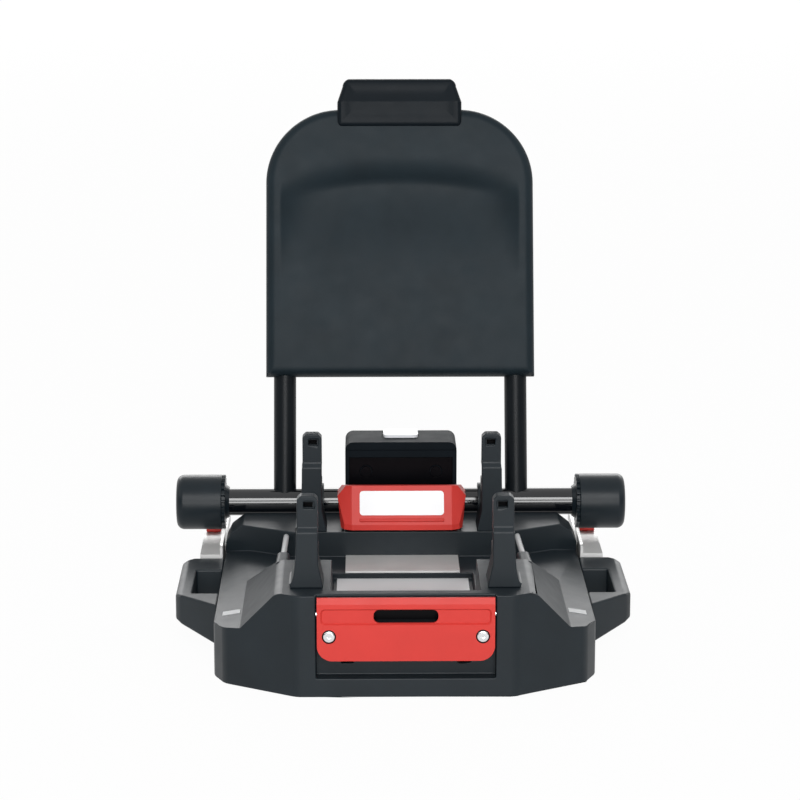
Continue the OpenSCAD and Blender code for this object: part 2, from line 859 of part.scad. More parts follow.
module lever_bracket() {
    color(black) for (side = [-1, 1]) on_side(side) difference() {
        along_x(ear_in, ear_in + ear_t) {
            translate([lever_pin_y, lever_pin_z]) circle(ear_r);
            translate([lever_pin_y - ear_r, rear_h]) square([2 * ear_r, lever_pin_z - rear_h]);
        }
        translate([0, lever_pin_y, lever_pin_z])
            x_pin(lever_pin_r + seat_gap, ear_in - over, ear_in + ear_t + over);
    }
}

module lever_pin() {
    color(steel) translate([0, lever_pin_y, lever_pin_z])
        x_pin(lever_pin_r, -rib_in - lever_rib_t, rib_in + lever_rib_t);
}

// Outer form of the lever cover, drawn in by inset
module lever_form(inset) {
    half = lever_w / 2 - inset;
    low = inset > 0 ? lever_low - over : lever_low;
    rear = inset > 0 ? lever_y + lever_d + over : lever_y + lever_d;
    intersection() {
        along_x(-lever_w, lever_w) polygon([
            [lever_y + inset, low], [lever_y + inset, lever_low + lever_lip],
            [lever_y + lever_rake + inset, lever_top - inset],
            [lever_y + lever_d, lever_top - lever_lip - inset], [rear, lever_top - lever_lip - inset],
            [rear, low]
        ]);
        along_y(lever_y, rear) symmetric([
            [half - lever_draft, low], [half, lever_top - 2 * lever_lip - inset],
            [lever_top_w / 2 - inset, lever_top - inset]
        ]);
        translate([0, 0, low]) linear_extrude(lever_top) symmetric([
            [half - 2 * lever_draft, lever_y], [half, lever_y + 2 * lever_lip], [half, rear]
        ]);
    }
}

module release_lever() {
    color(red) difference() {
        lever_form(0);
        difference() {
            lever_form(lever_wall);
            for (side = [-1, 1]) on_side(side)
                translate([rib_in, lever_y, 0]) cube([lever_rib_t, lever_d, lever_top]);
            lever_tines();
        }
        translate([0, lever_pin_y, lever_pin_z]) x_pin(lever_pin_r + run_gap, -lever_w / 2, lever_w / 2);
        translate([-lever_w, lever_y, lever_low - 2 * over]) cube([2 * lever_w, lever_d, 2 * over]);
    }
}

// Tines inside the lever that lift the head of the brake bolt
module lever_tines() {
    for (side = [-1, 1]) on_side(side)
        translate([brake_bolt_r + tine_t / 4, lever_y, brake_bolt_top - slide_gap - tine_t])
            cube([tine_w, brake_bolt_y - lever_y + tine_over, tine_t]);
}

module lever_label() {
    run = lever_rake;
    rise = lever_top - lever_low - lever_lip;
    tilt = atan(run / rise);
    face_l = norm([run, rise]);
    color(white) translate([0, lever_y, lever_low + lever_lip]) rotate([-tilt, 0, 0])
        along_y(-label_t, 0) translate([0, face_l - lever_label_h / 2 - lever_lip])
            round_rect(lever_label_l, lever_label_h, label_round);
}

module brake_bolt() {
    color(steel) translate([0, brake_bolt_y, 0]) {
        translate([0, 0, tongue_z + tongue_t + brake_gap])
            cylinder(r = brake_bolt_r, h = brake_bolt_top - tongue_z - tongue_t - brake_gap);
        translate([0, 0, brake_bolt_top]) cylinder(r = brake_head_r, h = screw_head_h);
        translate([0, 0, bolt_collar_z]) cylinder(r = brake_head_r + over, h = screw_head_h);
    }
}

module bolt_spring() {
    low = bolt_collar_z + screw_head_h;
    color(steel) translate([0, brake_bolt_y, low])
        coil(brake_bolt_r + wire_d + slide_gap, rear_h - wall - low, spring_turns + 2);
}

// Housing outline in X and Z
module housing_outline(inset) {
    translate([0, housing_low + inset])
        arch(housing_w - 2 * inset, housing_top - housing_low - 2 * inset, housing_round - inset / 2);
}

module tilt_housing() {
    cover_y = housing_end - wall;
    color(black) difference() {
        along_y(housing_y, cover_y) housing_outline(0);
        // seat on the rear block
        translate([-housing_w, front_y, 0]) cube([2 * housing_w, shell_l, rear_h]);
        // recessed face
        translate([-housing_w / 2 + face_edge, housing_y - over, face_low])
            cube([housing_w - 2 * face_edge, face_d + over, face_h]);
        // inside, with the shelf of the button spring left standing
        difference() {
            along_y(rear_y + wall, cover_y + over) housing_outline(wall);
            translate([-housing_w / 2, button_y - button_d / 2, shelf_z - wall])
                cube([housing_w, button_d + 2 * wall, wall]);
        }
        translate([0, stem_y, shelf_z - 2 * wall]) cylinder(r = stem_r + slide_gap, h = 3 * wall);
        translate([0, tube_y, tube_z]) {
            x_pin(tube_r + run_gap, -housing_w, housing_w);
            x_pin(drum_r + slide_gap, -drum_w / 2 - slide_gap, drum_w / 2 + slide_gap);
        }
        // button opening
        translate([0, button_y, button_z]) linear_extrude(2 * housing_round)
            round_rect(button_w + 2 * slide_gap, button_d + 2 * slide_gap, button_round);
        for (side = [-1, 1]) translate([side * face_screw_x, housing_y + face_d, face_low + face_h / 2])
            rotate([-90, 0, 0]) cylinder(d = screw_d + 2 * seat_gap, h = 4 * wall);
    }
}

module tilt_rear_cover() {
    color(black) difference() {
        along_y(housing_end - wall, housing_end) housing_outline(0);
        cover_screw_places() rotate([90, 0, 0]) cylinder(d = screw_d + 2 * seat_gap, h = 2 * wall);
    }
}

module cover_screw_places() {
    for (side = [-1, 1]) for (z = [housing_low + 1.2 * housing_round, housing_top - 1.2 * housing_round])
        translate([side * (housing_w / 2 - 1.2 * housing_round), housing_end, z]) children();
}

module tilt_screws() {
    color(steel) {
        cover_screw_places() rotate([-90, 0, 0]) pan_screw(wall);
        for (side = [-1, 1]) translate([side * face_screw_x, housing_y + face_d, face_low + face_h / 2])
            rotate([90, 0, 0]) pan_screw(2 * wall);
    }
}

module release_handle() {
    y0 = front_y - handle_proud;
    y1 = front_y + handle_inner;
    bevel = 4;
    color(red) difference() {
        union() {
            intersection() {
                along_x(-handle_w / 2, handle_w / 2) polygon([
                    [y0, handle_z], [y0, handle_top - bevel], [front_y - over, handle_top],
                    [y1, handle_top], [y1, handle_z]
                ]);
                along_y(y0, y1) symmetric([
                    [handle_w / 2 - 1.5 * bevel, handle_z], [handle_w / 2, handle_z + 1.5 * bevel],
                    [handle_w / 2, handle_top]
                ]);
            }
            for (side = [-1, 1]) on_side(side) along_x(handle_w / 2 - cheek_t, handle_w / 2)
                translate([handle_y, pivot_z]) circle(cheek_r);
        }
        translate([0, handle_y, pivot_z]) x_pin(pivot_r + run_gap, -handle_w, handle_w);
        along_y(y0 - over, y1 + over) translate([0, slot_z]) round_rect(slot_l, slot_h, slot_round);
        for (side = [-1, 1]) translate([side * handle_screw_c / 2, y1 + over, handle_screw_z])
            rotate([90, 0, 0])
                cylinder(d = screw_d + 2 * seat_gap, h = handle_proud + handle_inner + 2 * over);
        // counterbores of the screw heads
        for (side = [-1, 1]) translate([side * handle_screw_c / 2, y0 + handle_head_sink, handle_screw_z])
            rotate([90, 0, 0]) cylinder(d = screw_head_d + 2 * handle_head_gap, h = handle_proud);
    }
}

module handle_arm() {
    y1 = front_y + handle_inner;
    color(dark) difference() {
        union() {
            translate([-handle_screw_c / 2 - screw_d, y1, handle_z + over])
                cube([handle_screw_c + 2 * screw_d, handle_web_t, handle_screw_z + screw_d - handle_z]);
            for (side = [-1, 1])
                translate([side * handle_arm_x - handle_arm_w / 2, y1, handle_z])
                    cube([handle_arm_w, latch_y + bolt_t / 2 - y1 - over, handle_arm_t]);
        }
        for (side = [-1, 1]) translate([side * handle_screw_c / 2, y1 + 2 * handle_web_t, handle_screw_z])
            rotate([90, 0, 0]) cylinder(d = screw_d + 2 * seat_gap, h = 3 * handle_web_t);
    }
}

module handle_screws() {
    color(steel) for (side = [-1, 1])
        translate([side * handle_screw_c / 2, front_y - handle_proud + handle_head_sink, handle_screw_z])
            rotate([90, 0, 0]) pan_screw(handle_proud + handle_inner + handle_web_t - handle_head_sink);
}

module latch_yoke() {
    bar_l = latch_y + bolt_t / 2 - yoke_front_y;
    color(steel) {
        translate([-tower_x - bolt_w / 2, yoke_front_y, yoke_z]) cube([tower_c + bolt_w, bar_l, yoke_h]);
        for (side = [-1, 1]) translate([side * tower_x - bolt_w / 2, latch_y - bolt_t / 2, yoke_z])
            cube([bolt_w, bolt_t, bolt_top - yoke_z]);
    }
}

module latch_springs() {
    color(steel) for (side = [-1, 1])
        translate([side * latch_spring_x, (yoke_front_y + latch_y) / 2, bottom_top])
            coil(latch_spring_r, yoke_z - bottom_top, spring_turns);
}

module carriage_beam() {
    half = arm_x - arm_w / 2;
    color(grey) along_x(-half, half) difference() {
        translate([beam_y, tongue_z]) square([beam_d, beam_h]);
        translate([beam_y + arm_wall, tongue_z + arm_wall])
            square([beam_d - 2 * arm_wall, beam_h - 2 * arm_wall]);
    }
}

module carriage_tongue() {
    color(grey) translate([-tongue_w / 2, tongue_y, tongue_z]) cube([tongue_w, beam_y - tongue_y, tongue_t]);
}

// Outline of one tooth, its root on y = 0
module tooth() {
    polygon([[-root_t / 2, -over / 4], [-root_t / 2, 0], [-tip_t / 2, tooth_h], [tip_t / 2, tooth_h],
        [root_t / 2, 0], [root_t / 2, -over / 4]]);
}

// Anchor arm on the right side: a box tube with a jaw mouth and a toothed rack
module anchor_arm() {
    x0 = arm_x - arm_w / 2;
    inner_w = arm_w - 2 * arm_wall;
    rack_root = tube_z - pitch_r - tooth_h / 2 - rack_gap;
    teeth = floor((tube_y - arm_y) / pitch_l);
    difference() {
        translate([x0, arm_y, arm_low]) cube([arm_w, arm_l, arm_h]);
        translate([x0 + arm_wall, arm_y + arm_wall, arm_low + arm_wall])
            cube([inner_w, arm_l, arm_h - 2 * arm_wall]);
        // mouth for the anchor bar
        translate([x0 - over, arm_end - mouth_d, mouth_z - mouth_h / 2])
            cube([arm_w + 2 * over, mouth_d + over, mouth_h]);
        // slot below the jaw
        translate([x0 + arm_wall, arm_end - jaw_slot_l, arm_low - over])
            cube([inner_w, jaw_slot_l + over, arm_wall + 2 * over]);
        // slot of the release slide
        translate([arm_x - slide_neck / 2 - slide_gap, slider_y, arm_top - arm_wall - over])
            cube([slide_neck + 2 * slide_gap, slider_l + slider_travel, arm_wall + 2 * over]);
        translate([0, jaw_pin_y, jaw_pin_z]) x_pin(jaw_pin_r + seat_gap, x0 - over, x0 + arm_w + over);
    }
    along_x(x0, x0 + rack_w) {
        translate([arm_y, arm_top]) square([tube_y + pitch_l - arm_y, rack_root - arm_top]);
        for (i = [-1:teeth - 1]) translate([tube_y - (i + 0.5) * pitch_l, rack_root]) tooth();
    }
}

module anchor_arm_left() { color(grey) on_side(-1) anchor_arm(); }
module anchor_arm_right() { color(grey) on_side(1) anchor_arm(); }

module jaw_pins() {
    color(steel) for (side = [-1, 1]) on_side(side) translate([0, jaw_pin_y, jaw_pin_z])
        x_pin(jaw_pin_r, arm_x - arm_w / 2, arm_x + arm_w / 2);
}

// Hook that closes the mouth of the right anchor arm
module anchor_jaw() {
    y1 = arm_end - over;
    tip = 3.5;
    low = mouth_z - mouth_h / 2 - slide_gap;
    difference() {
        along_x(arm_x - jaw_w / 2, arm_x + jaw_w / 2) {
            translate([jaw_pin_y, jaw_pin_z]) circle(jaw_r);
            polygon([
                [jaw_pin_y, jaw_pin_z - jaw_r], [y1 - tip, jaw_pin_z - jaw_r], [y1, jaw_pin_z],
                [y1, mouth_z + mouth_h / 2], [y1 - tip, mouth_z + mouth_h / 2 + 2 * over],
                [y1 - tip, low - over], [jaw_pin_y + jaw_r, low - over], [jaw_pin_y, low]
            ]);
        }
        translate([0, jaw_pin_y, jaw_pin_z])
            x_pin(jaw_pin_r + run_gap, arm_x - jaw_w, arm_x + jaw_w);
    }
}

module anchor_jaw_left() { color(steel) on_side(-1) anchor_jaw(); }
module anchor_jaw_right() { color(steel) on_side(1) anchor_jaw(); }

// Red slide on top of the right anchor arm, with a neck and head in the slot below
module release_slide() {
    head_t = 2;
    color(red) {
        translate([arm_x - slider_w / 2 + slider_shift, slider_y, arm_top + slide_gap])
            cube([slider_w, slider_l, slider_t]);
        translate([arm_x - slide_neck / 2, slider_y + slide_gap, arm_top - arm_wall - slide_gap - over])
            cube([slide_neck, slider_l / 2, arm_wall + 2 * slide_gap + over]);
        translate([arm_x - slide_neck, slider_y + slide_gap, arm_top - arm_wall - slide_gap - head_t])
            cube([2 * slide_neck, slider_l / 2, head_t]);
    }
}

module release_slide_left() { on_side(-1) release_slide(); }
module release_slide_right() { on_side(1) release_slide(); }

module cross_tube() {
    color(dark) translate([0, tube_y, tube_z]) difference() {
        x_pin(tube_r, -tube_half, tube_half);
        x_pin(tube_r - tube_wall, -tube_half - over, tube_half + over);
    }
}

// Right post, cut to the tube at its foot
module post() {
    difference() {
        on_posts() translate([post_c / 2, 0, 0]) difference() {
            cylinder(r = post_r, h = post_l);
            translate([0, 0, -over]) cylinder(r = post_r - tube_wall, h = post_l + 2 * over);
        }
        translate([0, tube_y, tube_z]) x_pin(tube_r + seat_gap, 0, post_c);
    }
}

module post_left() { color(dark) on_side(-1) post(); }
module post_right() { color(dark) on_side(1) post(); }

module brake_drum() {
    color(steel) translate([0, tube_y, tube_z]) difference() {
        x_pin(drum_r, -drum_w / 2, drum_w / 2);
        x_pin(tube_r + seat_gap, -drum_w, drum_w);
    }
}

// Places of the panel screws in the frame of the posts
module panel_screw_places() {
    for (side = [-1, 1]) for (up = [panel_set + panel_h * 0.2, panel_set + panel_h * 0.7])
        translate([side * panel_screw_c / 2, 0, up]) children();
}

module panel_outline(inset) {
    translate([0, panel_set + inset])
        arch(panel_w - 2 * inset, panel_h - 2 * inset, panel_round - inset);
}

// Bores of the posts through the lower walls of the panel
module post_bores() {
    for (side = [-1, 1]) translate([side * post_c / 2, 0, panel_set - over])
        cylinder(r = post_r + slide_gap / 2, h = post_l - panel_set + 2 * over);
}

module panel_front() {
    color(black) on_posts() difference() {
        union() {
            difference() {
                along_y(-panel_front_t, 0) panel_outline(0);
                along_y(wall - panel_front_t, over) panel_outline(wall);
            }
            panel_screw_places() rotate([90, 0, 0]) translate([0, 0, wall - panel_back_t])
                cylinder(r = boss_r, h = panel_back_t + panel_front_t - 2 * wall + over);
        }
        panel_screw_places() rotate([90, 0, 0]) translate([0, 0, -panel_back_t])
            cylinder(d = screw_d + 2 * seat_gap, h = panel_screw_l);
        post_bores();
    }
}

module panel_back() {
    color(black) on_posts() difference() {
        along_y(0, panel_back_t) panel_outline(back_inset);
        along_y(-over, panel_back_t - wall) panel_outline(back_inset + wall);
        panel_screw_places() rotate([-90, 0, 0]) cylinder(d = screw_d + 2 * seat_gap, h = 2 * panel_back_t);
        post_bores();
    }
}

module top_grip() {
    front = grip_front_share * grip_t;
    color(black) on_posts() difference() {
        intersection() {
            along_y(-front, grip_t - front) translate([0, grip_set]) symmetric([
                [grip_w / 2, 0], [grip_w / 2, grip_h / 2],
                [grip_top_w / 2 + grip_break, grip_h - grip_break], [grip_top_w / 2, grip_h]
            ]);
            along_x(-grip_w, grip_w) translate([0, grip_set]) polygon([
                [-front + grip_break / 2, 0], [-front, grip_h / 2], [grip_break - front, grip_h],
                [grip_t - front - grip_break, grip_h], [grip_t - front, grip_h / 2], [grip_t - front, 0]
            ]);
        }
        along_y(-panel_front_t, 0) panel_outline(0);
        along_y(0, panel_back_t) panel_outline(back_inset);
    }
}

module panel_screws() {
    color(steel) on_posts() panel_screw_places() translate([0, panel_back_t, 0]) rotate([-90, 0, 0])
        pan_screw(panel_back_t - wall);
}

// Right knob: a round cap on the end of the tube
module knob() {
    translate([knob_in / 2, tube_y, tube_z]) rotate([0, 90, 0]) difference() {
        rotate_extrude() {
            square([knob_r, knob_l - knob_round]);
            square([knob_r - knob_round, knob_l]);
            translate([knob_r - knob_round, knob_l - knob_round]) intersection() {
                circle(knob_round);
                square(knob_round);
            }
        }
        translate([0, 0, -over]) cylinder(r = tube_r + run_gap, h = knob_bore_l + over);
    }
}

module knob_left() { color(black) on_side(-1) knob(); }
module knob_right() { color(black) on_side(1) knob(); }

// Pinion on the inner face of the right knob
module knob_pinion() {
    root_r = pitch_r - tooth_h / 2;
    hub_l = 3;
    hub_lip = 1;
    translate([pinion_x, tube_y, tube_z]) rotate([0, 90, 0]) difference() {
        union() {
            linear_extrude(pinion_w) {
                circle(root_r);
                for (i = [0:pinion_n - 1]) rotate(i * 360 / pinion_n) translate([0, root_r]) tooth();
            }
            translate([0, 0, -hub_l]) cylinder(r1 = tube_r + hub_lip, r2 = tube_r + hub_l, h = hub_l);
        }
        translate([0, 0, -hub_l - over]) cylinder(r = tube_r + run_gap, h = hub_l + pinion_w + 2 * over);
    }
}

module knob_pinion_left() { color(black) on_side(-1) knob_pinion(); }
module knob_pinion_right() { color(black) on_side(1) knob_pinion(); }

module tilt_button() {
    color(white) {
        translate([0, button_y, button_flange_z]) {
            linear_extrude(housing_top + button_rise - button_flange_z)
                round_rect(button_w, button_d, button_round);
            linear_extrude(button_flange_t)
                round_rect(button_w + 2 * button_flange_t, button_d - over, button_round);
        }
        translate([0, stem_y, stem_z]) cylinder(r = stem_r, h = button_flange_z - stem_z);
    }
}

module button_spring() {
    color(steel) translate([0, stem_y, shelf_z])
        coil(stem_r + wire_d, button_spring_l, spring_turns);
}

// Rocking shoe above the brake drum, its tail below the button stem
module brake_shoe() {
    tail_y = stem_y + 2 * stem_r;
    color(dark) difference() {
        union() {
            translate([0, shoe_pin_y, shoe_pin_z]) x_pin(shoe_r, -shoe_t / 2, shoe_t / 2);
            along_x(-shoe_t / 2, shoe_t / 2) polygon([
                [tube_y - shoe_nose, tube_z], [tube_y - shoe_nose, shoe_pin_z],
                [shoe_pin_y, shoe_pin_z + tail_t], [tail_y, shoe_pin_z + tail_t],
                [tail_y, shoe_pin_z], [shoe_pin_y, shoe_pin_z - shoe_r / 2], [tube_y, tube_z]
            ]);
        }
        translate([0, tube_y, tube_z]) x_pin(drum_r + brake_gap, -shoe_t, shoe_t);
        translate([0, shoe_pin_y, shoe_pin_z]) x_pin(shoe_pin_r + run_gap, -shoe_t, shoe_t);
    }
}

module shoe_pin() {
    half = housing_w / 2 - wall;
    color(steel) translate([0, shoe_pin_y, shoe_pin_z]) x_pin(shoe_pin_r, -half, half);
}

base_shell();
bottom_plate();
seat_pad();
floor_plate();
info_label();
belt_guide_left();
belt_guide_right();
front_hook_left();
front_hook_right();
rear_hook_left();
rear_hook_right();
side_tie_rods();
side_marks();
handle_pins();
guide_rails();
tube_bracket_left();
tube_bracket_right();
lever_bracket();
lever_pin();
tilt_housing();
tilt_rear_cover();
tilt_screws();
base_screws();
release_handle();
handle_arm();
handle_screws();
latch_yoke();
latch_springs();
release_lever();
lever_label();
brake_bolt();
bolt_spring();
carriage_beam();
carriage_tongue();
anchor_arm_left();
anchor_arm_right();
jaw_pins();
anchor_jaw_left();
anchor_jaw_right();
release_slide_left();
release_slide_right();
cross_tube();
post_left();
post_right();
brake_drum();
panel_front();
panel_back();
top_grip();
panel_screws();
knob_left();
knob_right();
knob_pinion_left();
knob_pinion_right();
tilt_button();
button_spring();
brake_shoe();
shoe_pin();
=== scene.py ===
"""Looks of an infant carrier base: shell, hook towers, releases, rebound panel and arms."""
import json
import logging
import math
from dataclasses import dataclass
from enum import Enum
from typing import Callable, ClassVar

import bpy
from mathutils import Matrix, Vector


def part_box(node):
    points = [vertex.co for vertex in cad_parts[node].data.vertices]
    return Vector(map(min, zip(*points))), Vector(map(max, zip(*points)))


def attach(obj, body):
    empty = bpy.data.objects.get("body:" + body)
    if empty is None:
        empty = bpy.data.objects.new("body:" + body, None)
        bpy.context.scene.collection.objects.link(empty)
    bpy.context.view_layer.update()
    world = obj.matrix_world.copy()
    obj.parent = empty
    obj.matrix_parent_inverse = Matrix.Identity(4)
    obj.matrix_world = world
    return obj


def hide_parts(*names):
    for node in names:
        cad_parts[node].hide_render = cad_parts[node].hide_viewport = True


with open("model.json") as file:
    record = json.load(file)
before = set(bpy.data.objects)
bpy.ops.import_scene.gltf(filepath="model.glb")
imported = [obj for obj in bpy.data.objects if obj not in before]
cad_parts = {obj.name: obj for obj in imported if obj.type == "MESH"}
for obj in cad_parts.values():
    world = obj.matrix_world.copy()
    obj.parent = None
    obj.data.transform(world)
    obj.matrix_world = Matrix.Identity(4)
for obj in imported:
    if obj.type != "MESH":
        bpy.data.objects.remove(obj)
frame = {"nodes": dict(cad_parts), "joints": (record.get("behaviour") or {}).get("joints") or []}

LOG = logging.getLogger("carrier_base")
MM = 0.001
UP = Vector((0.0, 0.0, 1.0))
FRONT = Vector((0.0, -1.0, 0.0))
ACROSS = Vector((1.0, 0.0, 0.0))
ROUND_ANGLE = 40.0
ROUND_SIDES = 96
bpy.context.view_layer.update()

Object = bpy.types.Object
Node = bpy.types.Node
Tree = bpy.types.NodeTree
Socket = bpy.types.NodeSocket
Material = bpy.types.Material
EdgeTest = Callable[[Vector, Vector], bool]


class Side(Enum):
    """The two sides of the base, with the sign of X on each."""

    LEFT = -1
    RIGHT = 1

    @property
    def label(self) -> str:
        """The side's name as the nodes and bodies spell it."""
        return self.name.lower()


class Grain(Enum):
    """How the surface of a finish is broken up."""

    MOULDED = "moulded"
    SMOOTH = "smooth"
    BRUSHED = "brushed"


@dataclass(frozen=True)
class Finish:
    """One surface finish, built as a node material that reads Object coordinates.

    Args:
        name: name of the material.
        color: linear base colour.
        rough: middle roughness.
        grain: kind of fine texture.
        grain_size: size of the fine texture in metres.
        depth: strength of the fine bump.
        mottle: share by which the colour wanders over the part.
        metallic: 1 for bare metal.
        specular: specular level of the plastic.
    """

    name: str
    color: tuple[float, float, float]
    rough: float
    grain: Grain = Grain.MOULDED
    grain_size: float = 0.0009
    depth: float = 0.12
    mottle: float = 0.12
    metallic: float = 0.0
    specular: float = 0.5
    mottle_size: ClassVar[float] = 0.03
    mottle_detail: ClassVar[float] = 6.0
    mottle_band: ClassVar[tuple[float, float]] = (0.3, 0.7)
    wear_size: ClassVar[float] = 0.012
    wear_detail: ClassVar[float] = 4.0
    wear_share: ClassVar[float] = 0.15
    bump_height: ClassVar[float] = 0.0002
    brush_stretch: ClassVar[float] = 0.04
    brush_detail: ClassVar[float] = 3.0
    ripple_size: ClassVar[float] = 6.0
    ripple_detail: ClassVar[float] = 2.0

    def build(self) -> Material:
        """Makes the material.

        Returns:
            The new material.
        """
        mat = bpy.data.materials.new(self.name)
        mat.use_nodes = True
        tree = mat.node_tree
        shader = tree.nodes["Principled BSDF"]
        shader.inputs["Metallic"].default_value = self.metallic
        shader.inputs["Specular IOR Level"].default_value = self.specular
        coords = tree.nodes.new("ShaderNodeTexCoord").outputs["Object"]
        self._color(tree, coords, shader)
        self._roughness(tree, coords, shader)
        self._bump(tree, coords, shader)
        return mat

    def _noise(self, tree: Tree, vector: Socket, size: float, detail: float) -> Socket:
        """Adds a noise texture whose features are about size metres wide."""
        noise = tree.nodes.new("ShaderNodeTexNoise")
        noise.inputs["Scale"].default_value = 1.0 / size
        noise.inputs["Detail"].default_value = detail
        tree.links.new(vector, noise.inputs["Vector"])
        return noise.outputs["Fac"]

    def _color(self, tree: Tree, coords: Socket, shader: Node) -> None:
        """Lets the base colour wander a little round its middle."""
        ramp = tree.nodes.new("ShaderNodeValToRGB")
        low, high = ramp.color_ramp.elements
        low.position, high.position = self.mottle_band
        low.color = (*[c * (1.0 - self.mottle) for c in self.color], 1.0)
        high.color = (*[min(c * (1.0 + self.mottle), 1.0) for c in self.color], 1.0)
        wander = self._noise(tree, coords, self.mottle_size, self.mottle_detail)
        tree.links.new(wander, ramp.inputs["Fac"])
        tree.links.new(ramp.outputs["Color"], shader.inputs["Base Color"])

    def _roughness(self, tree: Tree, coords: Socket, shader: Node) -> None:
        """Lets the roughness wander, as handling polishes a surface unevenly."""
        spread = tree.nodes.new("ShaderNodeMapRange")
        spread.inputs["To Min"].default_value = self.rough * (1.0 - self.wear_share)
        spread.inputs["To Max"].default_value = min(self.rough * (1.0 + self.wear_share), 1.0)
        wear = self._noise(tree, coords, self.wear_size, self.wear_detail)
        tree.links.new(wear, spread.inputs["Value"])
        tree.links.new(spread.outputs["Result"], shader.inputs["Roughness"])

    def _bump(self, tree: Tree, coords: Socket, shader: Node) -> None:
        """Adds the fine relief: moulded grain, faint ripple or brush lines."""
        bump = tree.nodes.new("ShaderNodeBump")
        bump.inputs["Strength"].default_value = self.depth
        bump.inputs["Distance"].default_value = self.bump_height
        if self.grain is Grain.MOULDED:
            cells = tree.nodes.new("ShaderNodeTexVoronoi")
            cells.feature = "SMOOTH_F1"
            cells.inputs["Scale"].default_value = 1.0 / self.grain_size
            tree.links.new(coords, cells.inputs["Vector"])
            height = cells.outputs["Distance"]
        elif self.grain is Grain.BRUSHED:
            stretch = tree.nodes.new("ShaderNodeMapping")
            stretch.inputs["Scale"].default_value = (1.0, self.brush_stretch, 1.0)
            tree.links.new(coords, stretch.inputs["Vector"])
            brushed = stretch.outputs["Vector"]
            height = self._noise(tree, brushed, self.grain_size, self.brush_detail)
        else:
            ripple = self.grain_size * self.ripple_size
            height = self._noise(tree, coords, ripple, self.ripple_detail)
        tree.links.new(height, bump.inputs["Height"])
        tree.links.new(bump.outputs["Normal"], shader.inputs["Normal"])


class Finishes:
    """Every finish of the base, built once."""

    def __init__(self) -> None:
        """Builds the materials."""
        self.shell = Finish("grained black plastic", (0.008, 0.013, 0.017), 0.44, depth=0.0,
                            specular=0.28).build()
        self.panel = Finish("satin panel plastic", (0.010, 0.017, 0.022), 0.48, depth=0.02,
                            specular=0.13).build()
        self.rest = Finish("dark grip plastic", (0.004, 0.007, 0.010), 0.42, depth=0.02,
                           specular=0.10).build()
        self.housing = Finish("black housing plastic", (0.006, 0.009, 0.012), 0.55, depth=0.03,
                              specular=0.04).build()
        self.grip = Finish("soft grip rubber", (0.007, 0.012, 0.016), 0.36, grain_size=0.0006,
                           depth=0.05, specular=0.22).build()
        self.pad = Finish("ribbed pad rubber", (0.014, 0.014, 0.016), 0.75, grain_size=0.0025,
                          depth=0.5).build()
        self.red = Finish("satin red plastic", (0.57, 0.038, 0.030), 0.45, depth=0.02, mottle=0.04,
                          specular=0.28).build()
        self.film = Finish("bare label film", (0.80, 0.80, 0.81), 0.34, Grain.SMOOTH, depth=0.02,
                           mottle=0.02).build()
        self.button = Finish("white button plastic", (0.74, 0.75, 0.78), 0.30, Grain.SMOOTH,
                             depth=0.02, mottle=0.02).build()
        self.tube = Finish("gloss black tube", (0.002, 0.003, 0.005), 0.07, Grain.SMOOTH,
                           depth=0.0, mottle=0.1, specular=0.62).build()
        self.post = Finish("satin black tube", (0.004, 0.006, 0.008), 0.36, Grain.SMOOTH,
                           depth=0.0, mottle=0.1, specular=0.15).build()
        # Dark smoked finish for the black screws and rings, and also for the dark plates that paint
        # the shade in the tower pockets, the handle slot and the housing face.
        self.smoke = Finish("smoked cover and painted shade", (0.002, 0.002, 0.003), 0.30, Grain.SMOOTH, depth=0.0,
                            specular=0.08).build()
        # Painted highlight: the pale colour of the tie rods stands in for the light caught by their
        # steel.
        self.rod = Finish("pale rod", (0.78, 0.79, 0.80), 0.25, Grain.SMOOTH, depth=0.0,
                          mottle=0.02).build()
        self.zinc = Finish("zinc plated steel", (0.70, 0.70, 0.69), 0.42, Grain.BRUSHED, 0.0006,
                           depth=0.12, mottle=0.06, metallic=0.35).build()
        self.bright = Finish("bright plated steel", (0.72, 0.73, 0.74), 0.20, Grain.BRUSHED, 0.0004,
                             depth=0.08, mottle=0.05, metallic=1.0).build()
        self.mark = Finish("pale printed mark", (0.55, 0.56, 0.57), 0.5, Grain.SMOOTH, depth=0.02,
                           mottle=0.05).build()


@dataclass(frozen=True)
class Bevel:
    """How the sharp edges of a piece are rounded.

    Args:
        width: width of the bevel.
        steps: number of steps round it.
        angle: least angle of an edge that is bevelled, in degrees.
        clamp: whether widths stop where bevels would meet.
    """

    width: float
    steps: int = 3
    angle: float = 28.0
    clamp: bool = False


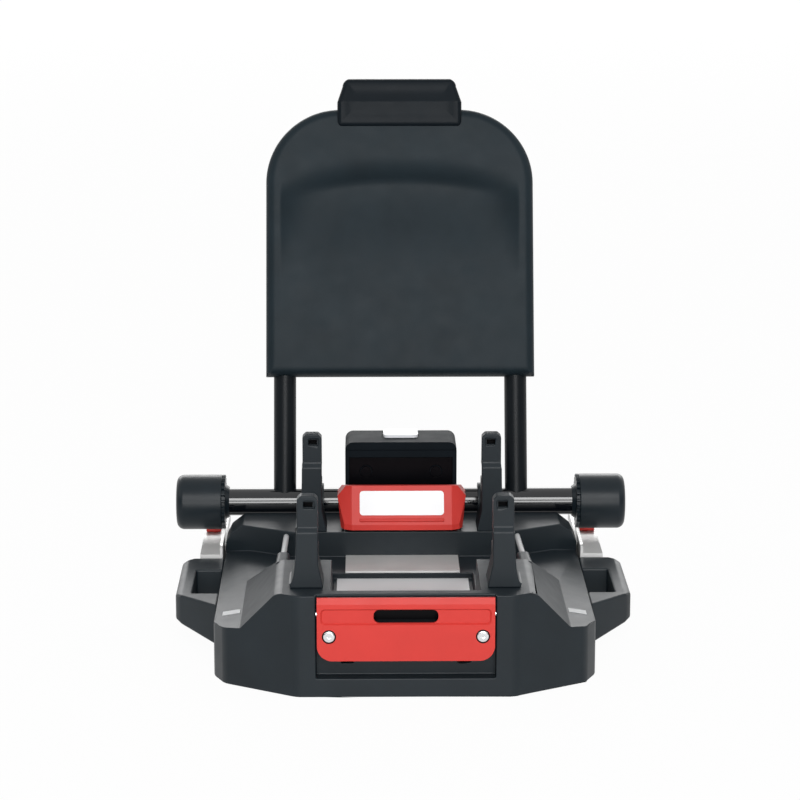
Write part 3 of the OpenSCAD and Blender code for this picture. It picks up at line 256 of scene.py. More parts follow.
class Bench:
    """Modelling helpers that wrap Blender's operators."""

    weld: float = 0.00002
    flat_angle: float = math.radians(0.8)
    normal_weight: int = 100

    @staticmethod
    def clear() -> None:
        """Leaves edit mode and deselects everything."""
        if bpy.context.object and bpy.context.object.mode != "OBJECT":
            bpy.ops.object.mode_set(mode="OBJECT")
        bpy.ops.object.select_all(action="DESELECT")

    @staticmethod
    def pick(obj: Object) -> None:
        """Makes obj the only selected and the active object."""
        Bench.clear()
        obj.select_set(True)
        bpy.context.view_layer.objects.active = obj

    @staticmethod
    def copy_node(node: str, name: str) -> Object:
        """Copies a CAD node's mesh into a new object with clean flat faces.

        Args:
            node: the CAD node.
            name: name of the new object.

        Returns:
            The new object, standing where the node stands.
        """
        source = frame["nodes"][node]
        mesh = source.data.copy()
        mesh.materials.clear()
        obj = bpy.data.objects.new(name, mesh)
        bpy.context.scene.collection.objects.link(obj)
        Bench.merge(obj)
        return obj

    @staticmethod
    def soft_copy(node: str, name: str, bevel: Bevel) -> Object:
        """Copies a CAD node as copy_node does, and rounds its sharp edges."""
        obj = Bench.copy_node(node, name)
        Bench.soften(obj, bevel)
        return obj

    @staticmethod
    def merge(obj: Object) -> None:
        """Welds doubled points and joins the flat pieces of each face."""
        Bench.pick(obj)
        bpy.ops.object.mode_set(mode="EDIT")
        bpy.ops.mesh.select_all(action="SELECT")
        bpy.ops.mesh.remove_doubles(threshold=Bench.weld)
        bpy.ops.mesh.dissolve_limited(angle_limit=Bench.flat_angle)
        bpy.ops.mesh.select_all(action="DESELECT")
        bpy.ops.object.mode_set(mode="OBJECT")

    @staticmethod
    def cube(name: str, low: Vector, high: Vector) -> Object:
        """Adds a block between two corners.

        Args:
            name: name of the object.
            low: lowest corner.
            high: highest corner.

        Returns:
            The block, its place held in its mesh.
        """
        Bench.clear()
        bpy.ops.mesh.primitive_cube_add(size=1.0, location=(low + high) / 2.0)
        bpy.context.object.scale = high - low
        return Bench.settle(name)

    @staticmethod
    def settle(name: str) -> Object:
        """Names the shape just added and moves its place, turn and size into its mesh."""
        obj = bpy.context.object
        bpy.ops.object.transform_apply(location=True, rotation=True, scale=True)
        obj.name = name
        return obj

    @staticmethod
    def cylinder(name: str, centre: Vector, radius: float, length: float, along: Vector,
                 sides: int = ROUND_SIDES) -> Object:
        """Adds a round bar.

        Args:
            name: name of the object.
            centre: its middle.
            radius: its radius.
            length: its length.
            along: direction of its axis.
            sides: number of facets round it.

        Returns:
            The bar, its place held in its mesh.
        """
        Bench.clear()
        turn = UP.rotation_difference(along).to_euler()
        bpy.ops.mesh.primitive_cylinder_add(vertices=sides, radius=radius, depth=length,
                                            location=centre, rotation=turn)
        return Bench.settle(name)

    @staticmethod
    def oval(name: str, centre: Vector, half: Vector, length: float) -> Object:
        """Adds an elliptic bar along Y.

        Args:
            name: name of the object.
            centre: its middle.
            half: its half axes along X and Z.
            length: its length along Y.

        Returns:
            The bar, its place held in its mesh.
        """
        Bench.clear()
        bpy.ops.mesh.primitive_cylinder_add(vertices=ROUND_SIDES, radius=1.0, depth=1.0,
                                            location=centre,
                                            rotation=(math.radians(90.0), 0.0, 0.0))
        bpy.context.object.scale = (half.x, half.z, length)
        return Bench.settle(name)

    @staticmethod
    def split(obj: Object, point: Vector, normal: Vector, trim: bool = False) -> None:
        """Splits the faces that a plane crosses, and takes off what lies past it where asked."""
        Bench.pick(obj)
        bpy.ops.object.mode_set(mode="EDIT")
        bpy.ops.mesh.select_all(action="SELECT")
        bpy.ops.mesh.bisect(plane_co=point, plane_no=normal, use_fill=trim, clear_outer=trim)
        bpy.ops.mesh.select_all(action="DESELECT")
        bpy.ops.object.mode_set(mode="OBJECT")

    @staticmethod
    def select_edges(obj: Object, test: EdgeTest) -> int:
        """Selects the edges whose two ends pass the test, and returns their number."""
        Bench.pick(obj)
        mesh = obj.data
        mesh.polygons.foreach_set("select", [False] * len(mesh.polygons))
        mesh.vertices.foreach_set("select", [False] * len(mesh.vertices))
        flags = [test(*(mesh.vertices[end].co for end in edge.vertices)) for edge in mesh.edges]
        mesh.edges.foreach_set("select", flags)
        return sum(flags)

    @staticmethod
    def round_edges(obj: Object, test: EdgeTest, bevel: Bevel) -> None:
        """Bevels the edges that pass the test, whatever their angle."""
        if not Bench.select_edges(obj, test):
            LOG.warning("%s: no edge to round", obj.name)
            return
        bpy.ops.object.mode_set(mode="EDIT")
        bpy.ops.mesh.select_mode(type="EDGE")
        bpy.ops.mesh.bevel(offset=bevel.width, segments=bevel.steps, profile=0.5,
                           clamp_overlap=True)
        bpy.ops.mesh.select_all(action="DESELECT")
        bpy.ops.object.mode_set(mode="OBJECT")

    @staticmethod
    def soften(obj: Object, bevel: Bevel) -> None:
        """Bevels every sharp edge and smooths the shading."""
        Bench.pick(obj)
        mod = obj.modifiers.new("edges", "BEVEL")
        mod.width = bevel.width
        mod.segments = bevel.steps
        mod.limit_method = "ANGLE"
        mod.angle_limit = math.radians(bevel.angle)
        mod.use_clamp_overlap = bevel.clamp
        mod.miter_outer = "MITER_ARC"
        bpy.ops.object.modifier_apply(modifier=mod.name)
        Bench.smooth(obj)
        Bench.weigh_normals(obj)

    @staticmethod
    def weigh_normals(obj: Object) -> None:
        """Keeps large flat faces flat in the shading of a bevelled piece."""
        Bench.pick(obj)
        mod = obj.modifiers.new("normals", "WEIGHTED_NORMAL")
        mod.keep_sharp = True
        mod.weight = Bench.normal_weight
        bpy.ops.object.modifier_apply(modifier=mod.name)

    @staticmethod
    def smooth(obj: Object, angle: float = 32.0) -> None:
        """Shades the object smooth up to an angle in degrees."""
        Bench.pick(obj)
        bpy.ops.object.shade_smooth_by_angle(angle=math.radians(angle))

    @staticmethod
    def cut(obj: Object, tool: Object) -> None:
        """Takes a tool's volume away from obj and deletes the tool."""
        Bench.pick(obj)
        mod = obj.modifiers.new("cut", "BOOLEAN")
        mod.operation = "DIFFERENCE"
        mod.solver = "EXACT"
        mod.object = tool
        bpy.ops.object.modifier_apply(modifier=mod.name)
        bpy.data.objects.remove(tool)
        Bench.merge(obj)

    @staticmethod
    def dress(obj: Object, material: Material) -> None:
        """Gives obj one material."""
        obj.data.materials.clear()
        obj.data.materials.append(material)

    @staticmethod
    def place(obj: Object, body: str, slot: str, material: Material, *nodes: str) -> None:
        """Dresses a finished piece and hands it to the frame.

        Args:
            obj: the piece.
            body: the CAD body that it rides on.
            slot: the record's material slot; not used.
            material: its finish.
            nodes: CAD nodes that it stands for.
        """
        Bench.dress(obj, material)
        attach(obj, body)
        if nodes:
            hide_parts(*nodes)
        LOG.info("%s rides on %s: %d faces", obj.name, body, len(obj.data.polygons))


def near(value: float, target: float, tol: float = 0.0006) -> bool:
    """Whether a value lies within tol of a target."""
    return abs(value - target) < tol


@dataclass
class Shell:
    """The moulded base shell with its towers, guides and small fittings."""

    finishes: Finishes
    body_bevel: Bevel = Bevel(0.9 * MM, angle=24.0)
    facet_y: float = -75.0 * MM
    ridge: Bevel = Bevel(4.0 * MM, 5)
    ridge_x: float = 86.0 * MM
    ridge_l: float = 10.0 * MM
    corner: Bevel = Bevel(3.5 * MM, 4)
    corner_x: float = 70.0 * MM
    corner_l: float = 12.0 * MM
    corner_lean: float = 1.2 * MM
    corner_run: float = 50.0 * MM
    brow: Bevel = Bevel(2.6 * MM, 4)
    brow_x: float = 60.5 * MM
    brow_z: float = 36.0 * MM
    brow_l: float = 4.0 * MM
    sill: Bevel = Bevel(4.0 * MM, 5)
    sill_z: float = 13.0 * MM
    sill_l: float = 50.0 * MM
    tower_bevel: Bevel = Bevel(0.8 * MM, angle=20.0)
    ledge_z: float = 108.0 * MM
    flare_w: float = 5.0 * MM
    step_w: float = 0.5 * MM
    toe: float = 3.0 * MM
    cap_half: float = 7.0 * MM
    pocket_half: float = 4.6 * MM
    pocket_share: float = 0.56
    pocket_deep: float = 9.0 * MM
    pocket_drop: float = 6.0 * MM
    pocket_set: float = 4.0 * MM
    # Thickness of the dark plate that paints the shade at the back of each tower pocket.
    shade_plate_t: float = 1.59 * MM
    guide_bevel: Bevel = Bevel(1.6 * MM, 4, 20.0)
    strip_l: float = 8.5 * MM
    spare: float = 1.0 * MM
    rod_r: float = 2.0 * MM
    rod_slope: float = 0.125
    saddle_bevel: Bevel = Bevel(2.6 * MM, 5, 20.0, True)
    saddle_half: float = 4.5 * MM
    saddle_lead: float = 4.0 * MM
    saddle_end: float = 4.0 * MM
    saddle_z: float = 58.0 * MM
    saddle_lid: float = 1.4 * MM

    def build(self) -> None:
        """Builds every piece of the shell."""
        self._body()
        for side in Side:
            self._tower("front_hook", side)
            self._tower("rear_hook", side)
            self._guide(side)
        self._marks()
        self._rods()

    def _marks(self) -> None:
        """Thin pale strips on the side floors."""
        low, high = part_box("side_marks")
        obj = Bench.copy_node("side_marks", "side_strips")
        keep = Vector((0.0, self.strip_l, 0.0))
        rest = Bench.cube("rest", low - (UP + ACROSS) * self.spare + keep,
                          high + UP * self.spare + keep)
        Bench.cut(obj, rest)
        Bench.place(obj, "base", "label_film", self.finishes.mark, "side_marks")

    def _rods(self) -> None:
        """Tie rods, each sunk in a rounded saddle at its front end; their pale white colour is a
        painted highlight on the steel.
        """
        low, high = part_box("side_tie_rods")
        for side in Side:
            axis = side.value * (high.x - self.rod_r)
            foot = Vector((axis - self.saddle_half, low.y - self.saddle_lead, self.saddle_z))
            head = Vector((axis + self.saddle_half, self.saddle_end, high.z + self.saddle_lid))
            saddle = Bench.cube(f"rod_saddle_{side.label}", foot, head)
            for vert in saddle.data.vertices:
                if vert.co.y > 0.0:
                    vert.co.z -= (self.saddle_end - low.y) * self.rod_slope
            Bench.soften(saddle, self.saddle_bevel)
            Bench.place(saddle, "base", "black_plastic", self.finishes.shell)
        # The tie rods get the pale finish as a painted highlight.
        obj = Bench.copy_node("side_tie_rods", "tie_rods")
        Bench.smooth(obj, ROUND_ANGLE)
        Bench.place(obj, "base", "bright_steel", self.finishes.rod, "side_tie_rods")

    def _body(self) -> None:
        """Shell with rounded ridges, outer corners, brow and sill."""
        low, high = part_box("base_shell")
        obj = Bench.copy_node("base_shell", "moulded_shell")

        def ridge(a: Vector, b: Vector) -> bool:
            """Long edge between ridge top and ramp."""
            along = all(near(abs(v.x), self.ridge_x) and near(v.z, high.z) for v in (a, b))
            return along and abs(a.y - b.y) > self.ridge_l

        def corner(a: Vector, b: Vector) -> bool:
            """Upright edge of an outer front corner."""
            upright = abs(a.z - b.z) > self.corner_l and (a.xy - b.xy).length < self.corner_lean
            ahead = a.y < min(low.y + self.corner_run, self.facet_y)
            return upright and ahead and max(abs(a.x), abs(b.x)) > self.corner_x

        def brow(a: Vector, b: Vector) -> bool:
            """Edge between the front facets and the sloping tops beside the handle."""
            ahead = max(a.y, b.y) < self.facet_y and min(a.z, b.z) > self.brow_z
            beside = min(abs(a.x), abs(b.x)) > self.brow_x
            return ahead and beside and (a.xy - b.xy).length > self.brow_l

        def sill(a: Vector, b: Vector) -> bool:
            """Long front edge below the handle's recess."""
            along = all(near(v.y, low.y) and near(v.z, self.sill_z) for v in (a, b))
            return along and abs(a.x - b.x) > self.sill_l

        Bench.round_edges(obj, sill, self.sill)
        Bench.round_edges(obj, corner, self.corner)
        Bench.round_edges(obj, ridge, self.ridge)
        Bench.round_edges(obj, brow, self.brow)
        Bench.soften(obj, self.body_bevel)
        Bench.place(obj, "base", "black_plastic", self.finishes.shell, "base_shell")

    def _tower(self, kind: str, side: Side) -> None:
        """One hook tower with a curved flare below its ledge and a pocket in its cap, darkened by a
        plate of painted shade at its back.
        """
        node = f"{kind}_{side.label}"
        low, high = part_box(node)
        obj = Bench.copy_node(node, f"{node}_moulding")
        flare = Vector((self.flare_w - self.step_w, 0.0, self.ledge_z - low.z - self.toe))
        outer = high.x if side is Side.RIGHT else low.x
        centre = Vector((outer, (low.y + high.y) / 2.0, self.ledge_z))
        Bench.cut(obj, Bench.oval("flare", centre, flare, 2.0 * (high.y - low.y)))
        axis = outer - side.value * (self.flare_w + self.cap_half)
        deep = self.pocket_deep / 2.0
        mouth = Vector((self.pocket_half, deep, self.pocket_half * self.pocket_share))
        middle = Vector((axis, low.y + deep + self.pocket_set, high.z - self.pocket_drop))
        Bench.cut(obj, Bench.cube("pocket", middle - mouth, middle + mouth))
        Bench.soften(obj, self.tower_bevel)
        Bench.place(obj, "base", "black_plastic", self.finishes.shell, node)
        # Painted shade: a dark plate at the back of the pocket stands in for the shade inside it.
        shade_plate_front = middle - mouth - FRONT * (self.pocket_deep - self.shade_plate_t)
        shade_plate = Bench.cube(f"{node}_pocket", shade_plate_front, middle + mouth)
        Bench.place(shade_plate, "base", "black_plastic", self.finishes.smoke)

    def _guide(self, side: Side) -> None:
        """One belt guide with softened edges."""
        node = f"belt_guide_{side.label}"
        obj = Bench.soft_copy(node, f"{node}_moulding", self.guide_bevel)
        Bench.place(obj, "base", "black_plastic", self.finishes.shell, node)


@dataclass
class Releases:
    """The red front handle, the red rear lever and the red slides under the knobs."""

    finishes: Finishes
    slide_bevel: Bevel = Bevel(0.7 * MM)
    handle_bevel: Bevel = Bevel(0.5 * MM, angle=24.0, clamp=True)
    corner: Bevel = Bevel(3.9 * MM, 6)
    corner_tol: float = 0.1 * MM
    band_corner: Bevel = Bevel(2.6 * MM, 5)
    band_z: tuple[float, float] = (51.8 * MM, 60.8 * MM)
    band_depth: float = 1.5 * MM
    band_draft: float = 2.0 * MM
    band_inset: float = 3.4 * MM
    corner_cut: float = 6.0 * MM
    slot_half: tuple[float, float] = (21.6 * MM, 4.7 * MM)
    slot_z: float = 56.4 * MM
    # Thickness of the dark plate that paints the shade behind the handle's slot.
    shade_t: float = 1.0 * MM
    head_bevel: Bevel = Bevel(1.1 * MM, 4, 40.0, True)
    head_r: float = 4.0 * MM
    head_gap: float = 0.05 * MM
    socket_r: float = 1.5 * MM
    socket_deep: float = 1.1 * MM
    socket_sides: int = 6
    ring_r: float = 4.68 * MM
    ring_l: float = 1.5 * MM
    ring_set: float = 1.3 * MM
    bore_l: float = 10.0 * MM
    lever_bevel: Bevel = Bevel(0.8 * MM, angle=18.0, clamp=True)
    facet_x: float = 36.5 * MM
    facet_slope: float = 0.55
    facet_depth: float = 11.0 * MM
    rib_bevel: Bevel = Bevel(0.9 * MM, 4, 40.0)
    rib_l: float = 62.0 * MM
    rib_r: float = 1.3 * MM
    rib_sides: int = 32
    rib_foot: float = 4.0 * MM
    rib_up: float = 3.4 * MM
    rake: float = math.atan2(12.0, 26.5)

    def build(self) -> None:
        """Builds the red pieces."""
        self._handle()
        self._screws()
        self._lever()
        for side in Side:
            node = f"release_slide_{side.label}"
            obj = Bench.soft_copy(node, f"{node}_tab", self.slide_bevel)
            Bench.place(obj, f"slide_{side.label}", "red_plastic", self.finishes.red, node)

    def _handle(self) -> None:
        """Front handle with rounded corners and a sunk band round its finger slot, with a dark
        plate of painted shade behind the slot.
        """
        low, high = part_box("release_handle")
        obj = Bench.copy_node("release_handle", "handle_moulding")
        foot = (low.z, low.z + self.corner_cut)

        def corner(a: Vector, b: Vector) -> bool:
            """Edge through the wall at either end of a cut lower corner."""
            tol = self.corner_tol
            through = any(near(a.z, z, tol) and near(b.z, z, tol) for z in foot)
            at_end = abs(a.x) > high.x - self.corner_cut - 2.0 * tol
            return through and at_end and near(a.x, b.x, tol)

        Bench.round_edges(obj, corner, self.corner)
        band_low = Vector((low.x + self.band_inset, low.y - self.band_depth, self.band_z[0]))
        band_high = Vector((high.x - self.band_inset, low.y + self.band_depth, self.band_z[1]))
        band = Bench.cube("band", band_low, band_high)
        Bench.round_edges(band, lambda a, b: abs(a.y - b.y) > self.band_depth, self.band_corner)
        for vert in band.data.vertices:
            if vert.co.y < low.y:
                vert.co.x += math.copysign(self.band_draft, vert.co.x)
                vert.co.z += math.copysign(self.band_draft, vert.co.z - sum(self.band_z) / 2.0)
        Bench.cut(obj, band)
        Bench.soften(obj, self.handle_bevel)
        Bench.place(obj, "handle", "red_plastic", self.finishes.red, "release_handle")
        # Painted shade: a dark plate at the back of the finger slot stands in for the shade inside
        # it.
        across, up = self.slot_half
        shade = Bench.cube("slot_shade", Vector((-across, high.y - self.shade_t, self.slot_z - up)),
                           Vector((across, high.y, self.slot_z + up)))
        Bench.place(shade, "handle", "soft_grip", self.finishes.smoke)

    def _screws(self) -> None:
        """Domed handle screws with a socket, each in a dark ring."""
        low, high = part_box("handle_screws")
        obj = Bench.copy_node("handle_screws", "handle_screw_heads")
        Bench.soften(obj, self.head_bevel)
        for side in Side:
            at = Vector((side.value * (high.x - self.head_r), low.y, (low.z + high.z) / 2.0))
            Bench.cut(obj, Bench.cylinder("socket", at, self.socket_r, 2.0 * self.socket_deep,
                                          FRONT, self.socket_sides))
            ring = Bench.cylinder(f"screw_ring_{side.label}", at - FRONT * self.ring_set,
                                  self.ring_r, self.ring_l, FRONT)
            bore = Bench.cylinder("bore", at, self.head_r + self.head_gap, self.bore_l, FRONT)
            Bench.cut(ring, bore)
            Bench.place(ring, "handle", "soft_grip", self.finishes.smoke)
        Bench.smooth(obj)
        Bench.place(obj, "handle", "bright_steel", self.finishes.bright, "handle_screws")

    def _lever(self) -> None:
        """Rear lever with swept sides and a raised rib below its label."""
        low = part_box("release_lever")[0]
        obj = Bench.copy_node("release_lever", "lever_moulding")
        for side in Side:
            Bench.split(obj, ACROSS * side.value * self.facet_x, ACROSS)
        for vert in obj.data.vertices:
            over = abs(vert.co.x) - self.facet_x
            if over > 0.0 and vert.co.y < low.y + self.facet_depth:
                vert.co.y += over * self.facet_slope
        Bench.soften(obj, self.lever_bevel)
        Bench.place(obj, "lever", "red_plastic", self.finishes.red, "release_lever")
        foot = Vector((0.0, low.y, low.z + self.rib_foot))
        centre = foot + Vector((0.0, math.sin(self.rake), math.cos(self.rake))) * self.rib_up
        rib = Bench.cylinder("lever_rib", centre, self.rib_r, self.rib_l, ACROSS, self.rib_sides)
        Bench.soften(rib, self.rib_bevel)
        Bench.place(rib, "lever", "red_plastic", self.finishes.red)


@dataclass
class ReboundFrame:
    """Folding panel on its posts, with the grip on top."""

    finishes: Finishes
    back_bevel: Bevel = Bevel(1.6 * MM, 4, 40.0, True)
    lean: float = math.radians(17.0)
    set_up: float = 94.0 * MM
    height: float = 203.0 * MM
    half: float = 101.0 * MM
    corner: float = 56.0 * MM
    front: float = 14.0 * MM
    roll: float = 7.0 * MM
    columns: int = 120
    rows: int = 130
    edge_crowd: float = 1.25
    crease_drop: float = 10.0 * MM
    brow_up: float = 170.0 * MM
    brow_fall: float = 10.0 * MM
    brow_half: float = 79.0 * MM
    brow_arch: float = 2.2
    brow_run: float = 22.0 * MM
    blur_step: float = 0.05
    blur_count: int = 3
    field_run: float = 46.0 * MM
    field_half: float = 1.14
    field_fade: int = 5
    grip_up: float = 283.0 * MM
    grip_h: float = 37.0 * MM
    grip_half: float = 47.0 * MM
    grip_neck: float = 43.0 * MM
    grip_front: float = 18.0 * MM
    grip_back: float = 12.0 * MM
    grip_roll: float = 3.5 * MM
    grip_foot_r: float = 4.0 * MM
    grip_top_r: float = 6.0 * MM
    grip_lean: tuple[float, float] = (4.0 * MM, 2.0 * MM)
    grip_dish: float = 1.2 * MM
    dish_set: float = 2.2
    dish_run: float = 1.8 * MM

    def build(self) -> None:
        """Builds the panel's two shells and the grip."""
        self._front_shell()
        back = Bench.soft_copy("panel_back", "panel_back_moulding", self.back_bevel)
        Bench.place(back, "rebound_frame", "black_plastic", self.finishes.panel, "panel_back")
        self._grip()

    def world(self, x: float, out: float, up: float) -> Vector:
        """Turns a place on the posts into the frame.

        Args:
            x: distance to the right.
            out: distance behind the post axes.
            up: distance along the posts from the tube axis.

        Returns:
            The point in the frame.
        """
        axis = Vector(next(j["pos_m"] for j in frame["joints"] if j["name"] == "rebound_tilt"))
        sin, cos = math.sin(self.lean), math.cos(self.lean)
        return Vector((x, axis.y + out * cos + up * sin, axis.z - out * sin + up * cos))

    def _half_width(self, up: float) -> float:
        """Half width of the outline at a height above the panel's foot."""
        over = up - (self.height - self.corner)
        if over <= 0.0:
            return self.half
        return self.half - self.corner + self._arc(self.corner, over)

    @staticmethod
    def _arc(radius: float, gap: float) -> float:
        """Height of a circle's arc at a distance from its middle."""
        return math.sqrt(max(radius**2 - gap**2, 0.0))

    def _edge_distance(self, x: float, up: float) -> float:
        """Distance from a point on the front to the panel's outline."""
        centre_x, centre_up = self.half - self.corner, self.height - self.corner
        if abs(x) > centre_x and up > centre_up:
            return self.corner - math.hypot(abs(x) - centre_x, up - centre_up)
        return min(self.half - abs(x), self.height - up, up)

    def _relief(self, x: float, up: float) -> float:
        """How far the front lies behind its outermost plane.

        The rim rolls back, and the field below the brow is sunk under a shallow arch.
        """
        edge = max(self._edge_distance(x, up), 0.0)
        brow = self.brow_up - self.brow_fall * (abs(x) / self.brow_half)**self.brow_arch
        fade = self.brow_run / self.field_run
        shifts = range(-self.blur_count, self.blur_count + 1)
        total = 0.0
        for shift in shifts:
            t = (brow - up) / self.brow_run + self.blur_step * shift
            total += max(t, 0.0)**2 if t < 1.0 else math.exp(-((t - 1.0) * fade)**2)
        depth = total / len(shifts)
        reach = 1.0 - (abs(x) / (self.brow_half * self.field_half))**self.field_fade
        return self._rolled(self.roll, edge) + self.crease_drop * depth * max(reach, 0.0)

    def _rolled(self, radius: float, edge: float) -> float:
        """Sink of a rim that rolls back round a radius, at a distance from its edge."""
        return radius - self._arc(radius, max(radius - edge, 0.0))

    def _grip_half(self, up: float) -> float:
        """Half width of the grip's outline at a height above its foot."""
        foot, waist, neck = self.grip_foot_r, self.grip_h / 2.0, self.grip_h - self.grip_top_r
        if up < foot:
            return self.grip_half - foot + self._arc(foot, foot - up)
        if up < waist:
            return self.grip_half
        if up < neck:
            spread = self.grip_neck - self.grip_half
            return self.grip_half + spread * (up - waist) / (neck - waist)
        top = self.grip_h - neck
        return self.grip_neck - top + self._arc(top, up - neck)

    def _grip_relief(self, x: float, up: float) -> float:
        """How far the grip's front lies behind its outermost plane.

        The front leans back towards its top and foot, its rim rolls back, and its field is dished.
        """
        waist = self.grip_h / 2.0
        top, foot = self.grip_lean
        lean = top * max(up - waist, 0.0) / waist + foot * max(waist - up, 0.0) / waist
        edge = max(min(self._grip_half(up) - abs(x), self.grip_h - up, up), 0.0)
        rise = math.exp((self.dish_set * self.grip_roll - edge) / self.dish_run)
        return lean + self._rolled(self.grip_roll, edge) + self.grip_dish / (1.0 + rise)

    def _moulded(self, name: str, foot: float, height: float, depths: tuple[float, float],
                 outline: Callable[[float], float],
                 relief: Callable[[float, float], float]) -> Object:
        """Lays a grid over an outline, gives it relief and closes it behind.

        Args:
            name: name of the object.
            foot: height of its foot on the posts.
            height: its height.
            depths: how far its front lies before the posts and its back behind them.
            outline: half width at a height above the foot.
            relief: sink of the front at a place across and up.

        Returns:
            The moulding, standing on the posts.
        """
        Bench.clear()
        bpy.ops.mesh.primitive_grid_add(x_subdivisions=self.columns, y_subdivisions=self.rows,
                                        size=2.0)
        obj = bpy.context.object
        obj.name = name
        for vert in obj.data.vertices:
            across, along = vert.co.x, (vert.co.y + 1.0) / 2.0
            across = math.copysign(1.0 - (1.0 - abs(across))**self.edge_crowd, across)
            up = height * math.sin(along * math.pi / 2.0)
            x = across * outline(up)
            vert.co = (x, relief(x, up) - depths[0], foot + up)
        bpy.ops.object.mode_set(mode="EDIT")
        bpy.ops.mesh.select_all(action="SELECT")
        bpy.ops.mesh.region_to_loop()
        behind = (0.0, 2.0 * depths[0], 0.0)
        bpy.ops.mesh.extrude_region_move(TRANSFORM_OT_translate={"value": behind})
        bpy.ops.object.mode_set(mode="OBJECT")
        for vert in obj.data.vertices:
            if vert.select:
                vert.co.y = depths[1]
        bpy.ops.object.mode_set(mode="EDIT")
        bpy.ops.mesh.edge_face_add()
        bpy.ops.mesh.select_all(action="SELECT")
        bpy.ops.mesh.normals_make_consistent(inside=False)
        bpy.ops.object.mode_set(mode="OBJECT")
        for vert in obj.data.vertices:
            vert.co = self.world(vert.co.x, vert.co.y, vert.co.z)
        Bench.smooth(obj, ROUND_ANGLE)
        return obj

    def _front_shell(self) -> None:
        """Front shell with its brow and sunk field."""
        obj = self._moulded("panel_front_moulding", self.set_up, self.height, (self.front, 0.0),
                            self._half_width, self._relief)
        Bench.place(obj, "rebound_frame", "black_plastic", self.finishes.panel, "panel_front")

    def _grip(self) -> None:
        """Top grip with a rolled rim and a dished front, its back trimmed to lean forwards."""
        obj = self._moulded("grip_moulding", self.grip_up, self.grip_h,
                            (self.grip_front, self.grip_back), self._grip_half, self._grip_relief)
        waist = self.world(0.0, self.grip_back, self.grip_up + self.grip_h / 2.0)
        crown = self.world(0.0, self.grip_back - self.grip_lean[0], self.grip_up + self.grip_h)
        Bench.split(obj, waist, (crown - waist).cross(ACROSS).normalized(), True)
        Bench.smooth(obj, ROUND_ANGLE)
        Bench.place(obj, "rebound_frame", "black_plastic", self.finishes.rest, "top_grip")


@dataclass
class TubeEnds:
    """Knobs at the ends of the cross tube."""

    finishes: Finishes
    knob_bevel: Bevel = Bevel(0.8 * MM, angle=40.0)

    def build(self) -> None:
        """Builds the left and right knob, each a cap with softened rims."""
        for side in Side:
            node = f"knob_{side.label}"
            obj = Bench.soft_copy(node, f"{node}_cap", self.knob_bevel)
            Bench.smooth(obj, ROUND_ANGLE)
            Bench.place(obj, node, "soft_grip", self.finishes.grip, node)


@dataclass
class TiltLock:
    """Housing of the tilt lock behind the lever."""

    finishes: Finishes
    housing_bevel: Bevel = Bevel(0.35 * MM, 2, 24.0, True)
    plate_bevel: Bevel = Bevel(0.4 * MM, 3, 30.0, True)
    cover_bevel: Bevel = Bevel(0.9 * MM, angle=40.0)
    cap_bevel: Bevel = Bevel(1.6 * MM, 5, 40.0, True)
    frame_w: float = 3.0 * MM
    face_z: tuple[float, float] = (80.0 * MM, 103.5 * MM)
    face_depth: float = 2.5 * MM
    plate_t: float = 0.9 * MM
    plate_gap: float = 0.1 * MM
    screw_x: float = 26.0 * MM
    screw_z: float = 93.0 * MM
    well_r: float = 4.6 * MM
    well_l: float = 6.0 * MM
    line_z: float = 109.0 * MM
    line_h: float = 0.9 * MM
    spare: float = 1.0 * MM

    def build(self) -> None:
        """Builds the housing, its rear cover and its button."""
        self._housing()
        self._plate()
        cover = Bench.soft_copy("tilt_rear_cover", "rear_cover_moulding", self.cover_bevel)
        Bench.place(cover, "base", "black_plastic", self.finishes.housing, "tilt_rear_cover")
        cap = Bench.soft_copy("tilt_button", "button_cap", self.cap_bevel)
        Bench.place(cap, "button", "white_plastic", self.finishes.button, "tilt_button")

    def _housing(self) -> None:
        """Housing with a sunk face and a fine line below its lid."""
        low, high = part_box("tilt_housing")
        obj = Bench.copy_node("tilt_housing", "housing_moulding")
        inner = high.x - self.frame_w
        face = Bench.cube("face", Vector((-inner, low.y - self.spare, self.face_z[0])),
                          Vector((inner, low.y + self.face_depth, self.face_z[1])))
        Bench.cut(obj, face)
        spare = Vector((self.spare, self.spare, 0.0))
        lid = Bench.cube("lid line", Vector((low.x, low.y, self.line_z)) - spare,
                         Vector((high.x, high.y, self.line_z + self.line_h)) + spare)
        core = Bench.cube("core", Vector((low.x + self.line_h, low.y + self.line_h, low.z)),
                          Vector((high.x - self.line_h, high.y + 2.0 * self.spare, high.z)))
        Bench.cut(lid, core)
        Bench.cut(obj, lid)
        Bench.soften(obj, self.housing_bevel)
        Bench.place(obj, "base", "black_plastic", self.finishes.housing, "tilt_housing")

    def _plate(self) -> None:
        """Dark plate in the sunk face, with a well round each screw; its darkness is partly the
        face's own dark tint and partly painted shade in the sunk face.
        """
        low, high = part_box("tilt_housing")
        inner, back = high.x - self.frame_w, low.y + self.face_depth
        # Partly painted shade: the plate gives the face its dark tint and also darkens it as shade
        # in the sunk face would.
        plate = Bench.cube("housing_face", Vector((-inner, back - self.plate_t, self.face_z[0])),
                           Vector((inner - self.plate_gap, back, self.face_z[1] - self.plate_gap)))
        for side in Side:
            well = Vector((side.value * self.screw_x, back, self.screw_z))
            Bench.cut(plate, Bench.cylinder("well", well, self.well_r, self.well_l, FRONT))
        Bench.soften(plate, self.plate_bevel)
        Bench.place(plate, "base", "black_plastic", self.finishes.smoke)


@dataclass
class AnchorArms:
    """Steel arms that reach back to the anchor bars."""

    finishes: Finishes
    arm_bevel: Bevel = Bevel(0.5 * MM, 2, 50.0, True)

    def build(self) -> None:
        """Builds both arms."""
        for side in Side:
            node = f"anchor_arm_{side.label}"
            obj = Bench.soft_copy(node, f"{node}_steel", self.arm_bevel)
            Bench.place(obj, "carriage", "zinc_steel", self.finishes.zinc, node)


